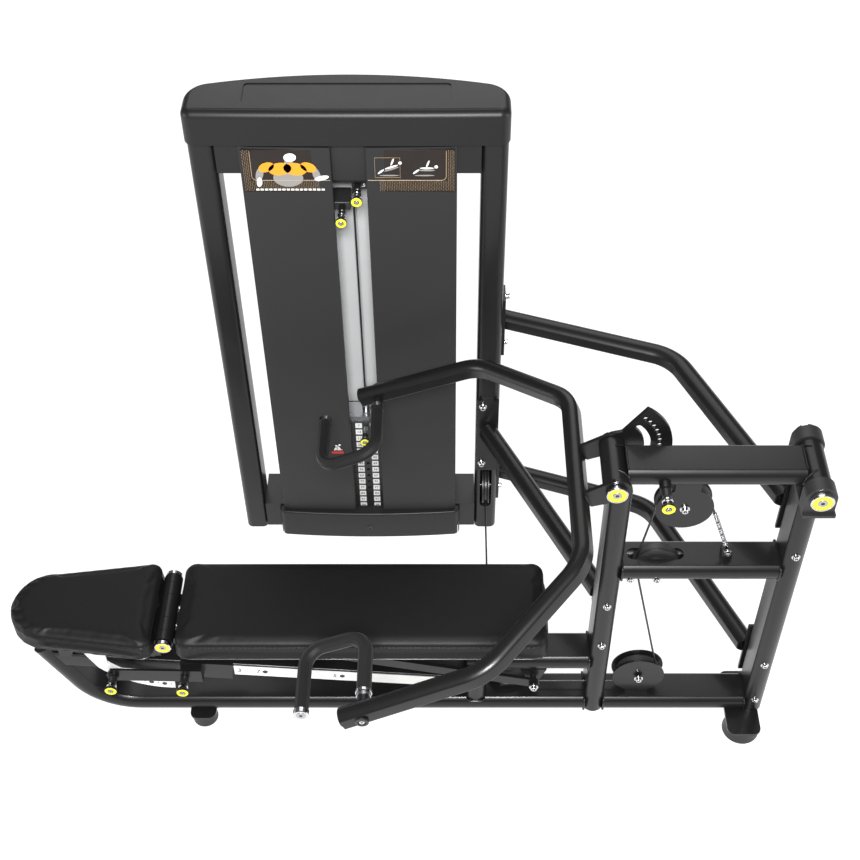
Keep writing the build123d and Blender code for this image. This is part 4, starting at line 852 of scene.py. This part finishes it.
# ---- hands -------------------------------------------------------------------------
@dataclass
class Handles:
    """Rubber sleeves, bright collars and end plugs of both bent handles."""

    leg: float = 0.616
    cross: float = 0.770
    inner: float = 0.282
    outer: float = 0.448

    def on_yoke(self, along: float, across: float, lift: float = -0.004) -> Vector:
        """Return a point of the yoke's tilted plane, from the arm pivot."""
        return ARM_PIVOT + Vector((
            -along * math.cos(YOKE_TILT) - lift * math.sin(YOKE_TILT), across,
            -along * math.sin(YOKE_TILT) + lift * math.cos(YOKE_TILT)))

    def build(self) -> None:
        """Build both handles' dressings."""
        kit = Kit("handles", "yoke", ("handle_grips", "handle_trim"))
        for side in (-1, 1):
            corners = [self.on_yoke(self.leg, side * 0.430),
                       self.on_yoke(self.leg, side * self.inner),
                       self.on_yoke(self.cross, side * self.inner),
                       self.on_yoke(self.cross, side * (self.outer - 0.004))]
            kit.strand(GRIP, rounded_route(corners, 0.046, 10), 0.0168)
            across = Vector((0, side, 0))
            for along, radius, start, finish in ((self.leg, 0.0185, 0.431, CHROME),
                                                 (self.leg, 0.0165, 0.439, ZINC)):
                disc(kit.of(finish), radius, 0.007, self.on_yoke(along, side * start), across,
                     0.001)
            tip = self.on_yoke(self.cross, side * (self.outer - 0.006))
            disc(kit.of(CHROME), 0.0178, 0.012, tip, across, 0.0015)
            disc(kit.of(ZINC), 0.011, 0.0008, tip + across * 0.012, across, bore=0.004)
            # Dark hexagon: painted shade of the end screw's hex socket.
            prism(kit.of(KNOB_AND_SOCKET_SHADE), 6, 0.004, 0.0006, tip + across * 0.012, across)
            plug = self.on_yoke(self.leg, side * 0.508, -0.002)
            turned(kit.of(KNOB_AND_SOCKET_SHADE), [(0, 0), (0.0152, 0), (0.0152, 0.0035), (0.0140, 0.0045),
                                  (0.009, 0.0045), (0.009, 0.002), (0, 0.002)], plug, across)
            disc(kit.of(CHROME), 0.0062, 0.002, plug + across * 0.002, across, bore=0.0028)
            # Dark hexagon: painted shade of the plug screw's hex socket.
            prism(kit.of(KNOB_AND_SOCKET_SHADE), 6, 0.0029, 0.0006, plug + across * 0.002, across)
        kit.close()
        self.add_end_plates()

    def add_end_plates(self) -> None:
        """Close the yoke's open ends with black plastic plugs."""
        kit = Kit("yoke_plugs", "yoke")
        out = Vector((-math.cos(YOKE_TILT), 0, -math.sin(YOKE_TILT)))
        for side in (-1, 1):
            disc(kit.of(CAP_ABS), 0.018, 0.0022, self.on_yoke(0.664, side * 0.490, 0), out,
                 0.0008)
        kit.close()


# ---- bench -------------------------------------------------------------------------
@dataclass
class Cushion:
    """Vinyl pad drawn over foam and stapled to a flat board.

    Args:
        node: CAD node that it stands for.
        body: Body that it rides on.
        voxel: Size of the mesh cells before the cover is inflated.
    """

    node: str
    body: str
    voxel: float = 0.005
    swell: float = 0.0045
    smoothing: int = 6

    def build(self) -> None:
        """Inflate the cover, then add its seam and its board."""
        pad = self.blank()
        foot = min(v.co.z for v in pad.data.vertices)
        rest = [v.co.copy() for v in pad.data.vertices]
        self.inflate(pad, foot)
        self.cap(pad, rest)
        thicker = pad.modifiers.new("refine", "SUBSURF")
        thicker.levels = thicker.render_levels = 1
        self.apply(pad)
        pad.data.polygons.foreach_set("use_smooth", [True] * len(pad.data.polygons))
        pad.data.materials.clear()
        pad.data.materials.append(VINYL.material())
        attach(pad, self.body)
        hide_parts(self.node)
        LOG.info("piece %s, %d faces", pad.name, len(pad.data.polygons))
        self.add_seam(pad)

    def blank(self) -> bpy.types.Object:
        """Return an even mesh of the pad's shape."""
        data = frame["nodes"][self.node].data.copy()
        pad = bpy.data.objects.new(f"{self.node}_cover", data)
        bpy.context.scene.collection.objects.link(pad)
        remesh = pad.modifiers.new("even", "REMESH")
        remesh.mode, remesh.voxel_size = "VOXEL", self.voxel
        smooth = pad.modifiers.new("soften", "SMOOTH")
        smooth.iterations = self.smoothing
        self.apply(pad)
        return pad

    def apply(self, pad: bpy.types.Object) -> None:
        """Bake a pad's modifiers into its mesh."""
        baked = bpy.data.meshes.new_from_object(
            pad.evaluated_get(bpy.context.evaluated_depsgraph_get()))
        pad.modifiers.clear()
        pad.data = baked

    def inflate(self, pad: bpy.types.Object, foot: float) -> None:
        """Let the cover swell under pressure, its underside held by the board."""
        held = pad.vertex_groups.new(name="held")
        held.add([v.index for v in pad.data.vertices if v.co.z < foot + 0.006], 1.0, "REPLACE")
        cloth = pad.modifiers.new("cover", "CLOTH")
        cloth.settings.quality = 4
        cloth.settings.use_pressure = True
        cloth.settings.uniform_pressure_force = 4.0
        cloth.settings.tension_stiffness = cloth.settings.compression_stiffness = 25
        cloth.settings.vertex_group_mass = held.name
        cloth.settings.effector_weights.gravity = 0.0
        cloth.collision_settings.use_self_collision = False
        cloth.point_cache.frame_start, cloth.point_cache.frame_end = 1, 20
        scene = bpy.context.scene
        for step in range(1, 21):
            scene.frame_set(step)
        self.apply(pad)
        scene.frame_set(1)

    def cap(self, pad: bpy.types.Object, rest: list[Vector]) -> None:
        """Keep every point of the cover within the swell of the foam."""
        for vertex, start in zip(pad.data.vertices, rest):
            moved = vertex.co - start
            if moved.length > self.swell:
                vertex.co = start + moved * (self.swell / moved.length)

    def add_seam(self, pad: bpy.types.Object) -> None:
        """Sew a twin-stitched seam round the pad, under its top edge."""
        mesh = bmesh.new()
        mesh.from_mesh(pad.data)
        tree = BVHTree.FromBMesh(mesh)
        mesh.free()
        low = Vector([min(v.co[i] for v in pad.data.vertices) for i in range(3)])
        high = Vector([max(v.co[i] for v in pad.data.vertices) for i in range(3)])
        kit = Kit(f"{self.node}_seam", self.body)
        for drop in (0.0165, 0.0205):
            kit.strand(VINYL, self.around(tree, low, high, high.z - drop), 0.0008, closed=True)
        stitches = self.around(tree, low, high, high.z - 0.0185)
        for first, last in list(zip(stitches, stitches[1:]))[::2]:
            kit.strand(PRINT_BLACK_AND_HOLE_SHADE, [first, last], 0.0007)
        board = self.around(tree, low, high, low.z + 0.003)
        kit.strand(KNOB_AND_SOCKET_SHADE, board, 0.0016, closed=True)
        kit.close()

    def around(self, tree: BVHTree, low: Vector, high: Vector, height: float,
               ) -> list[Vector]:
        """Return evenly spaced points of the pad's side at a height."""
        centre = (low + high) / 2
        centre.z = height
        raw = []
        for step in range(1440):
            turn = math.tau * step / 1440
            outward = Vector((math.cos(turn), math.sin(turn), 0))
            hit = tree.ray_cast(centre + outward * 2, -outward)[0]
            if hit:
                raw.append(hit)
        ring, travelled = [raw[0]], 0.0
        for before, here in zip(raw, raw[1:]):
            travelled += (here - before).length
            if travelled > 0.005:
                ring.append(here)
                travelled = 0.0
        return ring


@dataclass
class BenchScales:
    """Numbers beside the holes of the slide rail's strip and of the seat's arc."""

    rail: tuple[tuple[float, str], ...] = ((-427, "3"), (-378, "7"), (-178, "5"), (-92, "9"))
    rail_holes: tuple[float, ...] = (-360.5, -159.0)

    def build(self) -> None:
        """Print both scales, and lay dark discs on their holes as painted shade of the holes."""
        kit = Kit("rail_scale_print_and_hole_shade", "root")
        lean = Matrix.Rotation(math.atan(RAIL_SLOPE), 4, "Y")
        for x, figure in self.rail:
            kit.print_text(PRINT_BLACK_AND_HOLE_SHADE, figure, 0.021, rail_point(x * MM, 0.0516),
                           lean @ FACE_NEAR)
        for x in self.rail_holes:
            # Dark disc: painted shade inside the rail's hole.
            disc(kit.of(PRINT_BLACK_AND_HOLE_SHADE), 0.0066, 0.0003, rail_point(x * MM, 0.0514), NEAR,
                 0.0001)
        kit.close()
        arc = Kit("seat_arc_print_and_hole_shade", "seat")
        for index in range(5):
            hole = SEAT_FIRST_HOLE + SEAT_HOLE_STEP * index
            arc.print_text(PRINT_BLACK_AND_HOLE_SHADE, str(index + 1), 0.010,
                           seat_arc_point(hole + 4.2) + NEAR * 0.0681, FACE_NEAR)
            # Dark disc: painted shade inside the seat arc's hole.
            disc(arc.of(PRINT_BLACK_AND_HOLE_SHADE), 0.0064, 0.0002, seat_arc_point(hole) + NEAR * 0.0680,
                 NEAR, 0.0001)
        arc.close()


# ---- weight tower ------------------------------------------------------------------
@dataclass
class Placards:
    """Printed boards at the top of both shrouds, and a small warning label."""

    top: float = 1.410
    foot: float = 1.289
    face: float = 0.4855

    def build(self) -> None:
        """Build the three labels."""
        kit = Kit("placards", "root")
        self.board(kit, -0.370, -0.162, -1)
        self.board(kit, -0.072, 0.137, 1)
        self.figure(kit, Vector((-0.262, self.face - 0.0012, 1.352)))
        for x, raised in ((-0.024, 20.0), (0.060, 0.0)):
            self.pictogram(kit, x, raised)
        self.frame_line(kit, -0.054, 1.331, 0.006, 1.388, 0.0006)
        self.warning(kit, Vector((-0.199, 0.4838, 0.378)))
        kit.close()

    def board(self, kit: Kit, left: float, right: float, side: int) -> None:
        """Add one board: dark field, dotted band and a fine tan line."""
        lean = self.face
        bar(kit.of(PLACARD), (left, lean - 0.0006, self.foot), (right, lean + 0.0022, self.top),
            0.0004)
        outer, inner = (left, right) if side < 0 else (right, left)
        for row in range(7):
            for column in range(int(abs(right - left) / 0.0042)):
                self.dot(kit, outer - side * (0.003 + column * 0.0042),
                         self.foot + 0.004 + row * 0.0042 + (column % 2) * 0.0021)
        for row in range(7, 28):
            for column in range(4):
                self.dot(kit, outer - side * (0.003 + column * 0.0042),
                         self.foot + 0.004 + row * 0.0042 + (column % 2) * 0.0021)
        step = outer - side * 0.021
        corners = [Vector((step, lean - 0.001, self.top - 0.003)),
                   Vector((step, lean - 0.001, self.foot + 0.034)),
                   Vector((inner, lean - 0.001, self.foot + 0.034))]
        kit.strand(PRINT_TAN, rounded_route(corners, 0.012), 0.0008)

    def dot(self, kit: Kit, x: float, z: float) -> None:
        """Add one printed dot of the band."""
        made = bmesh.ops.create_circle(kit.of(PRINT_TAN), cap_ends=True, segments=6,
                                       radius=0.0009)["verts"]
        bmesh.ops.transform(kit.of(PRINT_TAN), verts=made, matrix=Matrix.Translation(
            (x, self.face - 0.0009, z)) @ FACE_NEAR)

    def blob(self, kit: Kit, finish: Finish, at: Vector, half: tuple[float, float],
             turn: float = 0.0) -> None:
        """Add a flat oval of ink, turned by an angle in degrees."""
        made = bmesh.ops.create_circle(kit.of(finish), cap_ends=True, segments=24,
                                       radius=1.0)["verts"]
        bmesh.ops.transform(kit.of(finish), verts=made, matrix=Matrix.Translation(at)
                            @ Matrix.Rotation(math.radians(-turn), 4, "Y") @ FACE_NEAR
                            @ Matrix.Diagonal((*half, 1, 1)))

    def figure(self, kit: Kit, at: Vector) -> None:
        """Add a plain upper body with its chest and shoulders picked out."""
        limbs = [(PRINT_GREY, (0, 0, -0.022), (0.036, 0.026), 0)]
        for side in (-1, 1):
            limbs += [
                (PRINT_ORANGE, (side * 0.018, -0.0004, 0.004), (0.028, 0.018), side * -10),
                (PRINT_ORANGE, (side * 0.050, -0.0004, 0.009), (0.020, 0.013), side * -26),
                (PRINT_GREY, (side * 0.068, -0.0002, -0.012), (0.009, 0.021), side * 14)]
        limbs += [(PRINT_WHITE, (0.080, -0.0006, -0.022), (0.018, 0.0065), 14),
                  (PRINT_WHITE, (-0.070, -0.0006, -0.034), (0.0065, 0.014), -8),
                  (PRINT_GREY, (0.004, -0.0002, 0.024), (0.010, 0.009), 0),
                  (PRINT_WHITE, (0.008, -0.0006, 0.037), (0.015, 0.012), 10)]
        for finish, offset, half, turn in limbs:
            self.blob(kit, finish, at + Vector(offset), half, turn)
        for index in range(16):
            bar(kit.of(PRINT_WHITE), at + Vector((-0.080 + index * 0.0105, -0.0004, -0.0585)),
                at + Vector((-0.0725 + index * 0.0105, 0.0002, -0.0535)))

    def pictogram(self, kit: Kit, x: float, raised: float) -> None:
        """Add a plain figure on a bench, its back raised by an angle in degrees."""
        at = Vector((x, self.face - 0.0010, 1.352))
        turn = math.radians(raised)
        for finish, half, drop in ((PRINT_GREY, 0.019, 0.0), (PRINT_WHITE, 0.017, 0.006)):
            middle = Vector((math.cos(turn) * 0.010, 0, math.sin(turn) * 0.010 + drop))
            self.blob(kit, finish, at + middle, (half, 0.0026), raised)
        self.blob(kit, PRINT_WHITE, at + Vector((0.032 * math.cos(turn), 0,
                                                 0.010 + 0.032 * math.sin(turn))),
                  (0.0042, 0.0046))
        self.blob(kit, PRINT_WHITE, at + Vector((-0.016, 0, -0.004)), (0.010, 0.0026), 40)
        self.blob(kit, PRINT_WHITE, at + Vector((0.012, 0, 0.018 + raised * 0.0003)),
                  (0.0022, 0.011), -20)
        self.blob(kit, PRINT_GREY, at + Vector((0.004, 0, -0.015)), (0.024, 0.002))

    def frame_line(self, kit: Kit, left: float, low: float, right: float, high: float,
                   radius: float) -> None:
        """Add a fine line round a rectangle."""
        y = self.face - 0.001
        corners = [Vector((left, y, low)), Vector((left, y, high)), Vector((right, y, high)),
                   Vector((right, y, low))]
        kit.strand(PRINT_TAN, corners, radius, closed=True)

    def warning(self, kit: Kit, at: Vector) -> None:
        """Add a small label: plain white marks over a red bar."""
        bar(kit.of(PRINT_RED), at + Vector((-.017, -.0009, -.022)),
            at + Vector((0.017, -.0003, -.012)))
        for offset, lift, half, turn in ((0.002, 0.004, (0.004, 0.012), 35),
                                         (-.004, 0.000, (0.0035, 0.010), -30),
                                         (0.007, 0.014, (0.0036, 0.0036), 0),
                                         (0.004, -.006, (0.012, 0.0018), 0)):
            self.blob(kit, PRINT_WHITE, at + Vector((offset, -0.0006, lift)), half, turn)


@dataclass
class TowerTrim:
    """Dark board behind the slot's head, a dark bar with two printed plus signs, and the cap's
    lip line.
    """

    def build(self) -> None:
        """Build the tower's small visible parts."""
        kit = Kit("tower_trim", "root")
        bar(kit.of(SHROUD_PAINT), (-0.1575, 0.4985, 1.312), (-0.0765, 0.5015, 1.4155), 0.0005)
        bar(kit.of(CASTING), (-0.171, 0.531, 1.282), (-0.070, 0.548, 1.302), 0.001)
        for x in (-0.146, -0.118):
            kit.print_text(PRINT_WHITE, "+", 0.012, Vector((x, 0.5308, 1.292)), FACE_NEAR)
        lip = [Vector((x * MM, 0.5020 + 0.004 * ((x + 117) / 385) ** 2, 1.5116))
               for x in range(-477, 245, 20)]
        kit.strand(CAP_ABS, lip, 0.0014)
        kit.close()


@dataclass
class Welds:
    """Rippled weld beads where the frame's tubes meet."""

    bead: float = 0.0024

    def build(self) -> None:
        """Lay the beads of the fixed frame, the lever and the yoke's brackets."""
        fixed = Kit("frame_welds", "root")
        for x, z in ((0.541, 0.645), (0.922, 0.645), (0.541, 0.070), (0.922, 0.070),
                     (0.489, 0.070), (0.489, 0.260)):
            self.around_tube(fixed, Vector((x, BENCH_Y, z)), Vector((0, 1, 0)),
                             Vector((0, 0, 1)))
        for z in (0.0955, 0.2345):
            self.around_tube(fixed, Vector((0.195, BENCH_Y, z)), Vector((0, 1, 0)),
                             Vector((1, 0, 0)))
        fixed.close()
        lever = Kit("lever_welds", "lever")
        for centre, side in ((ARM_PIVOT, 1), (LEVER_PIVOT, -1)):
            for face in (-1, 1):
                height = LEVER_Z + face * 0.0255 - centre.z
                reach = max(math.sqrt(max(PIVOT_TUBE_R ** 2 - height ** 2, 0.0)), 0.026)
                points = [centre + Vector((side * reach, (i / 24 - 0.5) * 0.074, height))
                          for i in range(25)]
                lever.strand(FRAME_PAINT, points, self.bead, 0.0005)
            self.side_beads(lever, centre, side)
        lever.close()
        yoke = Kit("bracket_welds", "yoke")
        for offset in (-0.0765, -0.0665, 0.0665, 0.0765):
            base = Handles()
            points = [base.on_yoke(0.0695, offset, -0.018 + 0.036 * i / 12) for i in range(13)]
            yoke.strand(FRAME_PAINT, points, self.bead, 0.0004)
        yoke.close()

    def side_beads(self, kit: Kit, centre: Vector, side: int) -> None:
        """Lay a bead down each crowned side where the lever meets a pivot tube."""
        for outward in (-1, 1):
            points = []
            for step in range(13):
                height = LEVER_Z + (step / 12 - 0.5) * 0.048 - centre.z
                crown = 0.036 + 0.0142 * (1 - ((height + centre.z - LEVER_Z) / 0.025) ** 2)
                reach = math.sqrt(max(PIVOT_TUBE_R ** 2 - height ** 2, 0.0))
                points.append(centre + Vector((side * reach, outward * crown, height)))
            kit.strand(FRAME_PAINT, points, self.bead, 0.0004)

    def around_tube(self, kit: Kit, centre: Vector, wide: Vector, high: Vector) -> None:
        """Lay a bead round a tube's section, 100 wide and 50 high, at its butted end."""
        points = []
        for step in range(72):
            turn = math.tau * step / 72
            c, s = math.cos(turn), math.sin(turn)
            reach = 0.0505 * math.copysign(abs(c) ** 0.55, c)
            rise = 0.0255 * math.copysign(abs(s) ** 0.38, s)
            points.append(centre + wide * reach + high * rise)
        kit.strand(FRAME_PAINT, points, self.bead, 0.0005, closed=True)


# ---- studio ------------------------------------------------------------------------
@dataclass
class Studio:
    """Camera, lights and a flat pale floor."""

    camera_at: Vector = field(default_factory=lambda: Vector((0.12, -2.264, 3.35)))
    pitch_deg: float = 46.5
    lens: float = 58.73
    shift_x: float = -0.0209

    def build(self) -> None:
        """Set up the whole studio."""
        self.add_camera()
        self.add_lights()
        self.add_floor()

    def add_camera(self) -> None:
        """Look down on the machine from in front of the bench."""
        data = bpy.data.cameras.new("camera")
        data.lens, data.sensor_width, data.shift_x = self.lens, 36.0, self.shift_x
        camera = bpy.data.objects.new("camera", data)
        camera.location = self.camera_at
        camera.rotation_euler = (math.radians(90 - self.pitch_deg), 0, 0)
        bpy.context.scene.collection.objects.link(camera)
        bpy.context.scene.camera = camera

    def add_lights(self) -> None:
        """Two soft boxes behind and in front of the top, and two at the sides."""
        lamps = (("behind", (0.1, 4.4, 4.6), (0.0, 0.2, 0.7), 4.6, 130),
                 ("front", (0.1, -3.4, 4.8), (0.1, 0.0, 0.6), 1.0, 480),
                 ("left", (-4.4, -0.6, 1.8), (0.0, 0.1, 0.6), 1.6, 60),
                 ("right", (4.4, -0.6, 1.8), (0.2, 0.0, 0.6), 1.6, 60))
        for name, place, target, size, power in lamps:
            data = bpy.data.lights.new(name, "AREA")
            data.energy, data.size = power, size
            lamp = bpy.data.objects.new(name, data)
            lamp.location = place
            lamp.rotation_euler = (Vector(target) - Vector(place)).to_track_quat(
                "-Z", "Y").to_euler()
            bpy.context.scene.collection.objects.link(lamp)
        world = bpy.data.worlds.new("surround")
        world.use_nodes = True
        world.node_tree.nodes["Background"].inputs["Color"].default_value = (1, 1, 1, 1)
        world.node_tree.nodes["Background"].inputs["Strength"].default_value = 0.12
        bpy.context.scene.world = world
        bpy.context.scene.view_settings.view_transform = "Standard"

    def add_floor(self) -> None:
        """Lay a plain pale floor under the machine."""
        mesh = bmesh.new()
        bmesh.ops.create_grid(mesh, x_segments=1, y_segments=1, size=14)
        data = bpy.data.meshes.new("studio_floor")
        mesh.to_mesh(data)
        mesh.free()
        floor = bpy.data.objects.new("studio_floor", data)
        bpy.context.scene.collection.objects.link(floor)
        paint = bpy.data.materials.new("white_floor_paint")
        paint.use_nodes = True
        shader = paint.node_tree.nodes["Principled BSDF"]
        shader.inputs["Base Color"].default_value = linear("#8c8c8c")
        shader.inputs["Roughness"].default_value = 0.9
        shader.inputs["Emission Color"].default_value = (1, 1, 1, 1)
        shader.inputs["Emission Strength"].default_value = 0.86
        data.materials.append(paint)
        floor.location.z = -0.0005


def main() -> None:
    """Build the machine's pieces in order."""
    Studio().build()
    dress_frame()
    for part in (Pivots(), PullPins(), FrameScrews(), DriveChain(), Stack(), Handles(),
                 BenchScales(), Placards(), TowerTrim(), Welds(),
                 Cushion("back_pad", "back"), Cushion("seat_pad", "seat")):
        part.build()
    rise = MOVING_PULLEY - MID_PULLEY
    heading = math.atan2(rise.z, rise.x) - math.asin(0.010 / rise.length)
    square = Vector((-math.sin(heading), 0, math.cos(heading)))
    Cable("lift_cable", "lever", MID_PULLEY + square * 0.050,
          MOVING_PULLEY + square * 0.060).build()
    Cable("stack_cable", "stack", Vector((TOWER_X, STACK_Y, 1.460)),
          Vector((TOWER_X, STACK_Y, 0.494))).build()


if __name__ == "__main__":
    main()
